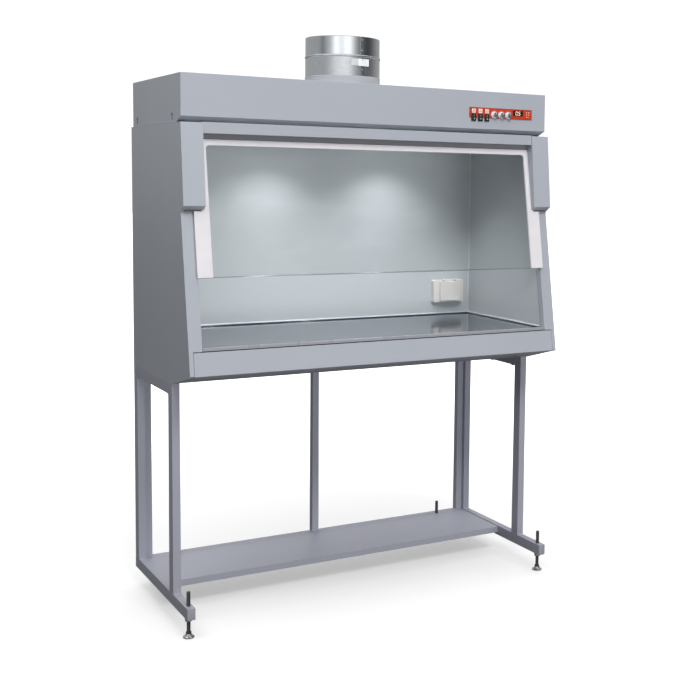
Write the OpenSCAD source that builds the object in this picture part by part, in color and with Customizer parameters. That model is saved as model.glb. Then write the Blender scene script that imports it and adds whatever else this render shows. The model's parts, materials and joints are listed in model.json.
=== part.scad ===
// Fume hood: sheet-steel cabinet with a slanted balanced sash, an exhaust header with a duct
// spigot on top, and an open tube stand with a shelf. The origin is on the floor in the middle
// of the footprint, +Z is up and the operator stands on the -Y side.

/* [Cabinet] */
// Overall width over the side panels
cab_w = 1300; // [1200:10:1500]
// Overall depth, front lip to rear panel
cab_d = 616; // [600:2:700]
// Height of the cabinet's flat underside above the floor
base_z = 757; // [700:1:900]
// Height of the cabinet's top edge, where the header sits
top_z = 1545; // [1500:5:1700]
// Rise of the underside from its flat part to the front lip
lip_rise = 47; // [30:1:60]
// Distance that the front leans back from lip to top
front_lean = 124; // [80:2:160]
// Thickness of the sheet steel
sheet = 1.5; // [1:0.5:2]
// Outer radius of the rounded rear corners
corner_r = 12; // [6:1:20]

/* [Work chamber] */
// Clear width between the liners
chamber_w = 1218; // [1100:2:1240]
// Distance of the back wall's face behind the frame's middle
back_y = 222; // [180:2:240]
// Height of the work surface above the floor
work_z = 882; // [860:1:900]
// Thickness of the worktop slab
work_t = 20; // [12:1:24]
// Height of the raised rim of the worktop
rim_h = 4; // [2:1:6]

/* [Sash] */
// Overall width of the sash
sash_w = 1227; // [1200:1:1235]
// Length of the sash along the slope
sash_l = 413; // [400:1:430]
// Thickness of the sash border
border_t = 9; // [8:0.5:10]
// Width of the border's side stiles
stile_w = 47; // [40:1:50]
// Width of the border's top rail
rail_w = 18; // [14:1:36]
// Thickness of the glass
glass_t = 5; // [4:0.5:5]

/* [Corner covers] */
// Width of each corner cover
cover_w = 67; // [60:1:70]
// Height of each cover's front face
cover_h = 244; // [230:1:250]
// How far the cover's top stands in front of the slope
cover_top_d = 47; // [45:1:55]
// How far the cover's bottom stands in front of the slope
cover_bot_d = 30; // [26:1:40]
// Height of the head rail between the covers
head_h = 33; // [25:1:40]

/* [Header] */
// Width of the header box
header_w = 1290; // [1180:10:1490]
// Height of the header box
header_h = 143; // [130:1:160]
// Distance of the header's front face from the frame's middle
header_front = 217; // [210:1:225]
// Distance of the header's rear face from the frame's middle
header_rear = 294; // [280:1:300]
// Height of the chamfer along the lower front edge
chamfer_h = 17; // [10:1:20]
// Depth of that chamfer
chamfer_d = 43; // [30:1:50]

/* [Duct] */
// Outer diameter of the galvanised spigot
duct_d = 250; // [200:25:250]
// Length of the spigot above its collar
duct_l = 129; // [100:1:160]
// Height of the pale collar under the spigot
collar_h = 38; // [20:1:50]
// Distance of the duct axis behind the frame's middle
duct_y = 62; // [40:1:80]

/* [Controls] */
// Width of the orange control fascia
fascia_w = 251; // [240:1:260]
// Height of the fascia
fascia_h = 34; // [30:1:40]
// Middle of the fascia, to the right of the cabinet's middle
fascia_x = 462.5; // [440:0.5:470]
// Height of the fascia's middle above the floor
fascia_z = 1617; // [1600:1:1630]
// Diameter of the round knobs
knob_d = 24; // [18:1:25]

/* [Stand] */
// Width of every stand tube, across the hood
tube_w = 25; // [20:1:30]
// Depth of the leg tubes, front to back
leg_d = 40; // [30:1:50]
// Height of the runner and top rail tubes
rail_h = 36; // [30:1:40]
// Wall thickness of the tubes
tube_t = 2; // [1.5:0.5:3]
// Height of the runners' underside above the floor
runner_z = 62; // [50:1:80]
// Distance of the front legs' front face from the frame's middle
leg_front = 127; // [100:1:140]
// Distance of the runners' front ends from the frame's middle
runner_front = 266; // [240:1:300]
// Distance of the stand's rear face behind the frame's middle
stand_rear = 298; // [280:1:305]
// Height of the shelf's folded front edge
shelf_h = 22; // [15:1:30]
// Height of the shelf's surface above the floor
shelf_z = 95; // [90:1:97]

/* [Levelling feet] */
// Diameter of the threaded spindles
spindle_d = 12; // [10:1:16]
// Height of the spindles' tops above the floor
spindle_top = 142; // [130:1:160]
// Diameter of the foot pads
pad_d = 34; // [28:1:50]
// Distance of the front feet in front of the frame's middle
foot_front = 239; // [220:1:250]
// Distance of the rear feet behind the frame's middle
foot_rear = 270; // [265:1:285]
// Distance of the rear feet to each side of the middle
rear_foot_x = 510; // [450:5:560]

/* [Hidden] */
$fn = 96;

// Colours
paint = "lightsteelblue";
stand_paint = "slategray";
inner_paint = "gainsboro";
zinc = "silver";
black = "#202024";

// Running clearances
gap = 0.3;
running_fit = 0.08;

// Cabinet outline
half_w = cab_w / 2;
front_y = -cab_d / 2;
rear_y = cab_d / 2;
lip_z = base_z + lip_rise;
break_y = -leg_front - 5;
tilt = atan(front_lean / (top_z - lip_z));
rise_slope = lip_rise / (break_y - front_y);
post_d = 25;
post_in = chamber_w / 2;
post_top = 690;
flange = 20;
apron_w = 1272;
apron_h = 71;
apron_d = 10;

// Sash places along the slope
sash_low = 289;
sash_top = sash_low + sash_l;
sash_back = 1;
sash_front = sash_back + border_t;
cable_y = (sash_back + sash_front) / 2;
lug_w = 22.5;
lug_h = 18;
lug_rise = 10;

// Balance gear in the side cavities
cable_x = 629;
cable_r = 1.25;
pulley_r = 18;
pulley_rim = 21;
pulley_w = 10;
axle_r = 4;
pulley_s = 729;
pulley_depth = pulley_r - cable_y;
pulley_y = front_y + pulley_s * sin(tilt) + pulley_depth * cos(tilt);
pulley_z = lip_z + pulley_s * cos(tilt) - pulley_depth * sin(tilt);
weight = [24, 70, 280];
weight_bore = 250;
weight_z = 795;

// Header
header_z = top_z + 1;
header_top = header_z + header_h;
chamfer_v = sheet * norm([chamfer_d, chamfer_h]) / chamfer_d;
lamp_x = 218;
lamp_y = 24;
lamp_w = 110;
exhaust_r = 120;

// Duct
duct_r = duct_d / 2;
spigot_z = header_top + collar_h;
spigot_top = spigot_z + duct_l;
duct_wall = 0.8;

// Controls
fascia_t = 2;
fascia_y = -header_front - fascia_t;
rocker_z = 1600.5;
rocker_pitch = 26;
rocker_x = 379.5;
rocker_tilt = 8;
knob_z = 1611.5;
knob_pitch = 28;
knob_x = 462.5;
shaft_r = 3;
display = [42, 19];
display_x = 531;
display_z = 1620.5;
bezel = [18.5, 24.5];
bezel_hole = [15.4, 21];

// Socket
socket = [128, 22, 84];
socket_x = 510;
socket_z = 972;
lid = [82, 13, 74];
lid_pin_r = 2;
lid_pin_z = 6;

// Stand
leg_top = base_z - rail_h;
runner_top = runner_z + rail_h;
tube_x = half_w - tube_w / 2;
post_w = 25;
rear_rail_h = 25;
rear_top_z = base_z + sheet - post_w;

// Depth position of the slanted front at height z
function slope_y(z) = front_y + (z - lip_z) * tan(tilt);

// The same part on both sides of the middle plane
module both_sides() {
    children();
    mirror([1, 0, 0]) children();
}

// Local frame on the slanted front: Z runs up the slope, -Y points out towards the operator
module on_slope() {
    translate([0, front_y, lip_z]) rotate([-tilt, 0, 0]) children();
}

// Sheet with the side-view outline pts, from x to x + t
module side_sheet(pts, x, t) {
    translate([x, 0, 0]) rotate([90, 0, 90]) linear_extrude(t) polygon(pts);
}

// Box centred on X, from y and z upwards
module mid_box(w, y, z, d, h) {
    translate([-w / 2, y, z]) cube([w, d, h]);
}

// Rectangular tube of outer size, open at both ends along the axis named
module tube(size, axis) {
    inner = [for (i = [0:2]) i == axis ? size[i] + 2 : size[i] - 2 * tube_t];
    difference() {
        cube(size);
        translate((size - inner) / 2) cube(inner);
    }
}

// ---- Stand -----------------------------------------------------------------------------

// Bore for a levelling spindle through a tube at [x, y]
module spindle_bore(x, y) {
    translate([x, y, runner_z - 5]) cylinder(h = rail_h + 20, r = spindle_d / 2 + running_fit);
}

module runner() {
    length = runner_front + stand_rear;
    color(stand_paint) difference() {
        translate([half_w - tube_w, -runner_front, runner_z]) tube([tube_w, length, rail_h], 1);
        spindle_bore(tube_x, -foot_front);
    }
}

// Upright leg whose front face is at y
module leg(y) {
    color(stand_paint) translate([half_w - tube_w, y, runner_top])
        tube([tube_w, leg_d, leg_top - runner_top], 2);
}

// Rail on top of both legs of one side, with a plate welded in each end
module top_rail() {
    length = leg_front + stand_rear;
    color(stand_paint) translate([half_w - tube_w, -leg_front, leg_top]) {
        tube([tube_w, length, rail_h], 1);
        for (y = [0, length - tube_t]) translate([0, y, 0]) cube([tube_w, tube_t, rail_h]);
    }
}

// Cross tube between the runners and a slimmer one under the cabinet floor
module rear_rails() {
    width = cab_w - 2 * tube_w;
    color(stand_paint) {
        difference() {
            translate([-width / 2, stand_rear - leg_d, shelf_z - rear_rail_h])
                tube([width, leg_d, rear_rail_h], 0);
            both_sides() spindle_bore(rear_foot_x, foot_rear);
        }
        translate([-width / 2, stand_rear - post_w, rear_top_z])
            tube([width, post_w, post_w], 0);
    }
}

module rear_posts() {
    side_x = half_w - tube_w - post_w;
    color(stand_paint) for (x = [-side_x - post_w, -post_w / 2, side_x])
        translate([x, stand_rear - post_w, shelf_z])
            tube([post_w, post_w, rear_top_z - shelf_z], 2);
}

// Folded tray: surface, deep front edge with a return under it, and two side folds
module shelf() {
    width = cab_w - 2 * tube_w - 1;
    depth = stand_rear - leg_d - 1;
    front = 3;
    color(stand_paint) difference() {
        mid_box(width, front, shelf_z - shelf_h, depth - front, shelf_h);
        mid_box(width - 2 * sheet, front + sheet, shelf_z - shelf_h + sheet,
                depth, shelf_h - 2 * sheet);
        mid_box(width - 2 * sheet, front + 14, shelf_z - shelf_h - 1, depth, 5);
    }
}

// Plastic inserts that close the runner ends
module runner_caps() {
    lip = 2;
    plug = [tube_w - 2 * tube_t - 0.2, 12, rail_h - 2 * tube_t - 0.2];
    color(black) both_sides() for (end = [[-runner_front, -1], [stand_rear, 1]]) {
        y = end[0] + (end[1] < 0 ? -lip : 0);
        translate([half_w - tube_w, y, runner_z]) cube([tube_w, lip, rail_h]);
        translate([tube_x - plug[0] / 2, end[0] - (end[1] < 0 ? 0 : plug[1]), runner_z + tube_t + 0.1])
            cube(plug);
    }
}

module foot_nuts() {
    nut_h = 10;
    nut_r = 19 / 2 / cos(30);
    color("dimgray") both_sides()
        for (p = [[tube_x, -foot_front, runner_z], [rear_foot_x, foot_rear, shelf_z - rear_rail_h]])
            translate([p[0], p[1], p[2] - nut_h]) difference() {
                cylinder(h = nut_h, r = nut_r, $fn = 6);
                translate([0, 0, -1]) cylinder(h = nut_h + 2, r = spindle_d / 2 + running_fit);
            }
}

// Foot: flat pad, cone and threaded spindle in one turned piece
module foot(x, y) {
    pad_r = pad_d / 2;
    color("dimgray") translate([x, y, 0]) {
        rotate_extrude() polygon([
            [0, 0], [pad_r - 0.5, 0], [pad_r, 0.5], [pad_r, 3], [pad_r - 1, 4],
            [9, 11], [8, 13], [0, 13]
        ]);
        translate([0, 0, 12]) cylinder(h = spindle_top - 13, r = spindle_d / 2);
        translate([0, 0, spindle_top - 1])
            cylinder(h = 1, r1 = spindle_d / 2, r2 = spindle_d / 2 - 1);
    }
}

// ---- Cabinet ---------------------------------------------------------------------------

// Side wall with its rounded rear corner, folded flanges and the stud for the sash pulley
module side_panel() {
    back = rear_y - corner_r;
    outline = [
        [back, base_z], [break_y, base_z], [front_y, lip_z], [slope_y(top_z), top_z],
        [back, top_z]
    ];
    color(paint) {
        side_sheet(outline, half_w - sheet, sheet);
        intersection() {
            translate([half_w - corner_r, back, base_z]) difference() {
                cylinder(h = top_z - base_z, r = corner_r);
                translate([0, 0, -1]) cylinder(h = top_z, r = corner_r - sheet);
            }
            translate([half_w - corner_r, back, base_z]) cube([corner_r, corner_r, top_z]);
        }
        translate([half_w - corner_r - flange, rear_y - sheet, base_z])
            cube([flange, sheet, top_z - base_z]);
        translate([half_w - flange, break_y, base_z]) cube([flange, back - break_y, sheet]);
        translate([half_w - flange, slope_y(top_z) + 5, top_z - sheet])
            cube([flange, back - slope_y(top_z) - 5, sheet]);
        translate([cable_x - pulley_w / 2 - 2, pulley_y, pulley_z]) rotate([0, 90, 0])
            cylinder(h = half_w - sheet / 2 - cable_x + pulley_w / 2 + 2, r = axle_r);
    }
}

// Rear wall, screwed inside the side walls' rear flanges, with a louvred service opening
module rear_panel() {
    slot = [160, 6];
    color(paint) difference() {
        mid_box(cab_w - 2 * corner_r - 2, rear_y - 2 * sheet, base_z + 4, sheet, top_z - base_z - 8);
        for (x = [-300, 0, 300], i = [0:5])
            translate([x - slot[0] / 2, rear_y - 10, base_z + 60 + 16 * i])
                cube([slot[0], 20, slot[1]]);
    }
}

// Underside: flat to the front legs, then rising to the front lip
module floor_pan() {
    z = base_z + sheet;
    end_y = front_y + 17;
    end_z = z + (break_y - end_y) * rise_slope;
    color(paint) side_sheet([
        [rear_y - 5, z], [break_y, z], [end_y, end_z], [end_y, end_z + sheet],
        [break_y, z + sheet], [rear_y - 5, z + sheet]
    ], -half_w + sheet + gap, cab_w - 2 * sheet - 2 * gap);
}

// Front panel below the work opening, folded back on all four edges
module apron() {
    color(paint) on_slope() difference() {
        mid_box(apron_w, 0, 0.5, apron_d, apron_h - 0.5);
        mid_box(apron_w - 2 * sheet, sheet, 0.5 + sheet, apron_d, apron_h - 0.5 - 2 * sheet);
    }
}

// Channel-section posts either side of the opening, narrow where the apron covers them
module front_posts() {
    outer = half_w - sheet;
    narrow_in = apron_w / 2 + 1;
    color(paint) both_sides() on_slope() difference() {
        union() {
            translate([post_in, 0, apron_h + 2]) cube([outer - post_in, post_d, post_top - apron_h - 2]);
            translate([narrow_in, 0, 2]) cube([outer - narrow_in, 20, apron_h + 10]);
        }
        translate([post_in + sheet, sheet, apron_h + 2 + sheet])
            cube([outer - post_in - 2 * sheet, post_d, post_top - apron_h - 2 - 2 * sheet]);
        translate([narrow_in + sheet, sheet, 2 + sheet])
            cube([outer - narrow_in - 2 * sheet, 30, apron_h]);
    }
}

// Outline of a corner cover seen from the side, moved inwards by t at its front and ends
function cover_outline(t) = [
    [slope_y(top_z) - cover_top_d + t, top_z - t],
    [slope_y(top_z - cover_h) - cover_bot_d + t, top_z - cover_h + t / 2],
    [slope_y(top_z - cover_h - 18) + (t > 0 ? 3 : 0), top_z - cover_h - 18 + t],
    [slope_y(top_z) + (t > 0 ? 3 : 0), top_z - t]
];

// Hollow wedge over the sash guide; its inner wall stops short of the sash
module corner_cover() {
    inner_x = half_w - cover_w;
    color(paint) difference() {
        side_sheet(cover_outline(0), inner_x, cover_w);
        side_sheet(cover_outline(sheet), inner_x + sheet, cover_w - 2 * sheet);
        on_slope() translate([inner_x - 1, -sash_front - 1, 0])
            cube([half_w - 10 - inner_x + 1, 60, 760]);
    }
}

// Folded rail that joins the covers under the header
module head_rail() {
    width = 2 * (half_w - cover_w) - 2 * gap;
    top = top_z + 2;
    front = slope_y(top_z) - cover_top_d + 2;
    depth = cover_top_d - 16;
    color(paint) difference() {
        mid_box(width, front, top - head_h, depth, head_h);
        mid_box(width - 2 * sheet, front + sheet, top - head_h + sheet, depth, head_h - 2 * sheet);
    }
}

// Dark rubber strip above the sash that closes the gap under the header
module head_seal() {
    width = 2 * (half_w - cover_w) - 4;
    color(black) on_slope() mid_box(width, -8, sash_top + 2, 8, 42);
}

module side_liners() {
    low = work_z - work_t;
    high = top_z - 2;
    front = post_d / cos(tilt) + 2;
    color(inner_paint) both_sides() side_sheet([
        [slope_y(low) + front, low], [back_y - 0.5, low], [back_y - 0.5, high],
        [slope_y(high) + front, high]
    ], post_in, sheet);
}

module back_liner() {
    color(inner_paint) mid_box(chamber_w + 2 * sheet, back_y, work_z - work_t, sheet,
                               top_z - 2 - work_z + work_t);
}

// Slab with a raised rim on all four sides; the front rim overhangs the apron
module worktop() {
    width = chamber_w - 2;
    rim = 8;
    front = slope_y(work_z) + 2;
    slab_front = front + apron_d + 1;
    depth = back_y - 1 - front;
    color("#3a3f4a") union() {
        mid_box(width, slab_front, work_z - work_t, back_y - 1 - slab_front, work_t);
        difference() {
            mid_box(width, front, work_z - 6, depth, 6 + rim_h);
            mid_box(width - 2 * rim, front + rim, work_z, depth - 2 * rim, rim_h + 1);
        }
    }
}

// ---- Sash ------------------------------------------------------------------------------

// Upper pane fixed between the posts, behind the sash
module fixed_pane() {
    color("powderblue", 0.4) on_slope()
        mid_box(chamber_w - 3, 3, sash_low + 3, glass_t, top_z - lip_z - sash_low - 3);
}

// Glass volume, also the pocket for it in the border
// The sash's pane, which the border is grooved for
module glass_body() {
    mid_box(sash_w - 8, -cable_y - glass_t / 2, sash_low, glass_t, sash_l - 5);
}

module sash_glass() {
    color("powderblue", 0.4) on_slope() glass_body();
}

// White border bonded round the glass on three sides, with a cable lug at each upper corner
module sash_border() {
    window = [sash_w - 2 * stile_w, sash_l - rail_w];
    r = 12;
    color("white") on_slope() difference() {
        union() {
            mid_box(sash_w, -sash_front, sash_low, border_t, sash_l);
            both_sides() translate([sash_w / 2 - 1, -cable_y - 2.5, sash_top + lug_rise - lug_h])
                difference() {
                    cube([lug_w + 1, 5, lug_h]);
                    translate([cable_x - sash_w / 2 + 1, 2.5, -1])
                        cylinder(h = lug_h + 2, r = cable_r + gap, $fn = 24);
                }
        }
        translate([0, 5, sash_low]) rotate([90, 0, 0]) linear_extrude(30) {
            translate([-window[0] / 2, -1]) square([window[0], window[1] + 1 - r]);
            translate([-window[0] / 2 + r, 0]) square([window[0] - 2 * r, window[1]]);
            for (x = [-1, 1]) translate([x * (window[0] / 2 - r), window[1] - r]) circle(r);
        }
        glass_body();
    }
}

// Low-friction angle strips that hold the stiles and lugs against the posts
module sash_guides() {
    low = 486;
    high = post_top - 2;
    inner = half_w - cover_w + 8;
    outer = half_w - 10.5;
    color("dimgray") both_sides() on_slope() {
        translate([inner, -sash_front - gap - 0.6, low]) cube([outer - inner, 0.6, high - low]);
        translate([outer - 2, -sash_front - gap, low])
            cube([2, sash_front + gap, high - low]);
    }
}

// Grooved cable wheel on the stud
module pulley() {
    half = pulley_w / 2;
    groove = pulley_r - cable_r - gap;
    color("ivory") translate([cable_x, pulley_y, pulley_z]) rotate([0, 90, 0]) rotate_extrude()
        polygon([
            [axle_r + running_fit, -half], [pulley_rim, -half], [pulley_rim, 1 - half],
            [groove, -cable_r - gap], [groove, cable_r + gap], [pulley_rim, half - 1],
            [pulley_rim, half], [axle_r + running_fit, half]
        ]);
}

// Steel bar with a deep bore that takes in the cable as the weight rises
module counterweight() {
    color("gray") translate([cable_x, pulley_y + pulley_r, weight_z]) difference() {
        mid_box(weight[0], -weight[1] / 2, 0, weight[1], weight[2]);
        translate([0, 0, weight[2] - weight_bore])
            cylinder(h = weight_bore + 1, r = cable_r + 2 * gap, $fn = 24);
    }
}

// Steel cable from inside the sash lug over the pulley and down into the weight
module sash_cables() {
    lug_z = sash_top + lug_rise - 6;
    drop_z = weight_z + weight[2] - 20;
    color("silver") both_sides() {
        on_slope() translate([cable_x, -cable_y, lug_z])
            cylinder(h = pulley_s - lug_z, r = cable_r, $fn = 24);
        translate([cable_x, pulley_y, pulley_z]) rotate([90, 0, 90])
            rotate_extrude(angle = 180 - tilt) translate([pulley_r, 0]) circle(cable_r, $fn = 24);
        translate([cable_x, pulley_y + pulley_r, drop_z])
            cylinder(h = pulley_z - drop_z, r = cable_r, $fn = 24);
    }
}

// ---- Header ----------------------------------------------------------------------------

// Floor of the header and ceiling of the chamber
module ceiling_panel() {
    front = -header_front + chamfer_d + 5;
    color(inner_paint) difference() {
        mid_box(header_w - 2 * sheet - 1, front, header_z, header_rear - sheet - 0.5 - front, sheet);
        translate([0, duct_y, header_z - 1]) cylinder(h = 5, r = exhaust_r);
        both_sides() translate([lamp_x - lamp_w / 2, lamp_y - lamp_w / 2, header_z - 1])
            cube([lamp_w, lamp_w, 5]);
    }
}

// Lamp boxes above the ceiling, open downwards, each on a square flange
module lamp_housings() {
    body = lamp_w - 4;
    lip = lamp_w + 20;
    height = 50;
    color("white") both_sides() translate([lamp_x, lamp_y, header_z + sheet]) difference() {
        union() {
            mid_box(body, -body / 2, 0, body, height);
            mid_box(lip, -lip / 2, 0, lip, sheet);
        }
        mid_box(body - 2 * sheet, -body / 2 + sheet, -1, body - 2 * sheet, height + 1 - sheet);
    }
}

module lamp_lenses() {
    w = lamp_w - 2;
    color("lightyellow") both_sides() translate([lamp_x, lamp_y, header_z - 1])
        mid_box(w, -w / 2, 0, w, 2.5);
}

// Round slotted grille under the exhaust opening
module exhaust_grille() {
    slot_w = 9;
    pitch = 18;
    color(inner_paint) translate([0, duct_y, header_z - 2]) difference() {
        cylinder(h = 2, r = exhaust_r + 10);
        for (i = [-5:5]) {
            half = sqrt(pow(exhaust_r - 6, 2) - pow(abs(i) * pitch + slot_w / 2, 2));
            translate([-half, i * pitch - slot_w / 2, -1]) cube([2 * half, slot_w, 4]);
        }
    }
}

// Folded header box, open underneath, with the chamfer along its lower front edge
module header_shell() {
    f = -header_front;
    r = header_rear;
    knee = f + chamfer_d;
    run = chamfer_d / chamfer_h;
    in_f = f + sheet;
    in_z = header_z + (knee - in_f) / run + chamfer_v;
    color(paint) difference() {
        side_sheet([
            [knee, header_z], [f, header_z + chamfer_h], [f, header_top], [r, header_top],
            [r, header_z]
        ], -header_w / 2, header_w);
        side_sheet([
            [knee + (chamfer_v + 1) * run, header_z - 1], [in_f, in_z],
            [in_f, header_top - sheet], [r - sheet, header_top - sheet], [r - sheet, header_z - 1]
        ], -header_w / 2 + sheet, header_w - 2 * sheet);
        translate([0, duct_y, header_top - 5]) cylinder(h = 10, r = duct_r - 1.4);
        for (i = [-1:1]) translate([rocker_x + i * rocker_pitch - bezel_hole[0] / 2, f - 5,
                                    rocker_z - bezel_hole[1] / 2])
            cube([bezel_hole[0], 10, bezel_hole[1]]);
        for (i = [-1:1]) translate([knob_x + i * knob_pitch, f + 5, knob_z]) rotate([90, 0, 0])
            cylinder(h = 10, r = shaft_r + running_fit);
        both_sides() for (y = [-133, 243]) translate([header_w / 2 - 5, y - 2.5, header_z + 7])
            cube([10, 5, 15]);
    }
}

module duct_collar() {
    color("whitesmoke") translate([0, duct_y, header_top]) rotate_extrude() polygon([
        [duct_r - 0.7, 0], [duct_r + 13, 0], [duct_r + 13, 2], [duct_r + 1.3, 2],
        [duct_r + 1.3, collar_h], [duct_r - 0.7, collar_h]
    ]);
}

// Galvanised coupling: inner sleeve, step on the collar, stop bead at mid height and a plain rim
module duct_spigot() {
    bead_z = spigot_z + duct_l / 2;
    sleeve_l = 32;
    color(zinc) translate([0, duct_y, 0]) {
        rotate_extrude() polygon([
            [duct_r - 1.6, spigot_z - sleeve_l], [duct_r - 0.8, spigot_z - sleeve_l],
            [duct_r - 0.8, spigot_z], [duct_r + 0.6, spigot_z], [duct_r + 0.6, bead_z],
            [duct_r, bead_z], [duct_r, spigot_top],
            [duct_r - duct_wall, spigot_top], [duct_r - duct_wall, spigot_z + 2],
            [duct_r - 1.6, spigot_z + 1]
        ]);
        translate([0, 0, bead_z]) rotate_extrude() translate([duct_r, 0])
            intersection() {
                circle(2.2, $fn = 32);
                translate([-0.4, -3]) square([6, 6]);
            }
    }
}

// Short fan tube between chamber ceiling and header top, with three motor arms
module fan_casing() {
    low = header_z + sheet + gap;
    high = header_top - sheet - gap;
    inner = duct_r - 4;
    motor_r = 45;
    color(zinc) translate([0, duct_y, 0]) {
        translate([0, 0, low]) difference() {
            cylinder(h = high - low, r = inner + 1.5);
            translate([0, 0, -1]) cylinder(h = high, r = inner);
        }
        for (a = [90, 210, 330]) rotate([0, 0, a]) translate([motor_r + 1, -1.5, low + 20])
            cube([inner - motor_r - 0.5, 3, 40]);
        translate([0, 0, low + 20]) difference() {
            cylinder(h = 40, r = motor_r + 3);
            translate([0, 0, -1]) cylinder(h = 42, r = motor_r);
        }
    }
}

module fan_motor() {
    low = header_z + 12;
    color("dimgray") translate([0, duct_y, low]) {
        cylinder(h = 66, r = 45);
        cylinder(h = 78, r = 5);
    }
}

// Seven-blade axial impeller on the motor shaft
module fan_impeller() {
    low = header_z + 12 + 66 + 6;
    hub_h = 32;
    hub_r = 40;
    tip_r = duct_r - 10;
    blades = 7;
    color("gray") translate([0, duct_y, low]) {
        difference() {
            cylinder(h = hub_h, r = hub_r);
            translate([0, 0, -1]) cylinder(h = 12, r = 5 + running_fit);
        }
        for (i = [0:blades - 1]) rotate([0, 0, 360 / blades * i])
            intersection() {
                translate([hub_r - 6, 0, hub_h / 2]) rotate([35, 0, 0])
                    translate([0, -26, -1.25]) cube([tip_r - hub_r + 6, 52, 2.5]);
                cylinder(h = hub_h, r = tip_r);
            }
    }
}

// ---- Controls --------------------------------------------------------------------------

module fascia() {
    color("orangered") difference() {
        translate([fascia_x - fascia_w / 2, fascia_y, fascia_z - fascia_h / 2])
            cube([fascia_w, fascia_t, fascia_h]);
        for (i = [-1:1]) translate([rocker_x + i * rocker_pitch - bezel[0] / 2 - 0.2, fascia_y - 1,
                                    rocker_z - bezel[1] / 2 - 0.2])
            cube([bezel[0] + 0.4, 5, bezel[1] + 0.4]);
        for (i = [-1:1]) translate([knob_x + i * knob_pitch, fascia_y + 5, knob_z])
            rotate([90, 0, 0]) cylinder(h = 10, r = shaft_r + running_fit);
        translate([display_x - display[0] / 2, fascia_y - 1, display_z - display[1] / 2])
            cube([display[0], 5, display[1]]);
    }
}

module rocker_bezels() {
    depth = 4;
    color(black) for (i = [-1:1])
        translate([rocker_x + i * rocker_pitch, -header_front - depth, rocker_z]) difference() {
            translate([-bezel[0] / 2, 0, -bezel[1] / 2]) cube([bezel[0], depth, bezel[1]]);
            translate([-bezel_hole[0] / 2, -1, -bezel_hole[1] / 2])
                cube([bezel_hole[0], depth + 2, bezel_hole[1]]);
        }
}

module display_window() {
    color("#301010") translate([display_x - display[0] / 2 + 0.2, fascia_y - 0.4,
                                display_z - display[1] / 2 + 0.2])
        cube([display[0] - 0.4, 2.2, display[1] - 0.4]);
}

// Rocker key number i from the left, resting with its upper half pressed in
module rocker(i) {
    half = 9.4;
    color(black) translate([rocker_x + (i - 1) * rocker_pitch, -header_front, rocker_z])
        rotate([-rocker_tilt, 0, 0]) side_sheet([
            [-5.6, -half], [-4.4, 0], [-5.6, half], [2.5, half - 1], [2.5, 1 - half]
        ], -bezel_hole[0] / 2 + 0.4, bezel_hole[0] - 0.8);
}

// Knob number i from the left: skirt, grip, pointer ridge and shaft
module knob(i) {
    r = knob_d / 2;
    color("white") translate([knob_x + (i - 1) * knob_pitch, fascia_y - gap, knob_z])
        rotate([90, 0, 0]) {
            cylinder(h = 3, r = r);
            cylinder(h = 13, r = r - 3);
            translate([-1.5, 0, 3]) cube([3, r - 1, 11]);
            translate([0, 0, -6]) cylinder(h = 7, r = shaft_r);
        }
}

// ---- Socket ----------------------------------------------------------------------------

// Surface box on the back wall with the socket well and the hinge knuckles of its lid
module socket_base() {
    front = back_y - socket[1];
    hinge_z = socket_z + lid[2] / 2 + lid_pin_z;
    color("antiquewhite") {
        difference() {
            translate([socket_x - socket[0] / 2, front, socket_z - socket[2] / 2]) cube(socket);
            translate([socket_x, front + 12, socket_z - 6]) rotate([90, 0, 0])
                cylinder(h = 20, r = 22);
        }
        for (x = [-30, 18]) difference() {
            translate([socket_x + x, front - 7, hinge_z - 4]) cube([12, 7, 8]);
            translate([socket_x + x - 1, front - 4, hinge_z]) rotate([0, 90, 0])
                cylinder(h = 14, r = lid_pin_r + running_fit);
        }
    }
}

// Sprung flip lid with its hinge barrel and pin
module socket_lid() {
    front = back_y - socket[1];
    hinge_z = socket_z + lid[2] / 2 + lid_pin_z;
    color("antiquewhite") {
        translate([socket_x - lid[0] / 2, front - lid[1] - gap, socket_z - lid[2] / 2]) difference() {
            cube(lid);
            translate([3, 3, 3]) cube([lid[0] - 6, lid[1], lid[2] - 6]);
        }
        translate([socket_x - 17.5, front - 4, hinge_z]) rotate([0, 90, 0])
            cylinder(h = 35, r = 3);
        translate([socket_x - 17.5, front - 7, socket_z + lid[2] / 2 - 1])
            cube([35, 3, lid_pin_z + 1]);
        translate([socket_x - 30, front - 4, hinge_z]) rotate([0, 90, 0])
            cylinder(h = 60, r = lid_pin_r);
    }
}

mirror([1, 0, 0]) runner();  // left_runner
runner();  // right_runner
mirror([1, 0, 0]) leg(-leg_front);  // left_front_leg
leg(-leg_front);  // right_front_leg
mirror([1, 0, 0]) leg(stand_rear - leg_d);  // left_rear_leg
leg(stand_rear - leg_d);  // right_rear_leg
mirror([1, 0, 0]) top_rail();  // left_top_rail
top_rail();  // right_top_rail
rear_rails();
rear_posts();
shelf();
runner_caps();
foot_nuts();
foot(-tube_x, -foot_front);  // foot_front_left
foot(tube_x, -foot_front);  // foot_front_right
foot(-rear_foot_x, foot_rear);  // foot_rear_left
foot(rear_foot_x, foot_rear);  // foot_rear_right
mirror([1, 0, 0]) side_panel();  // left_side_panel
side_panel();  // right_side_panel
rear_panel();
floor_pan();
apron();
front_posts();
head_rail();
head_seal();
mirror([1, 0, 0]) corner_cover();  // left_corner_cover
corner_cover();  // right_corner_cover
side_liners();
back_liner();
worktop();
fixed_pane();
sash_glass();
sash_border();
sash_guides();
mirror([1, 0, 0]) pulley();  // left_pulley
pulley();  // right_pulley
mirror([1, 0, 0]) counterweight();  // left_counterweight
counterweight();  // right_counterweight
sash_cables();
ceiling_panel();
lamp_housings();
lamp_lenses();
exhaust_grille();
header_shell();
duct_collar();
duct_spigot();
fan_casing();
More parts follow.
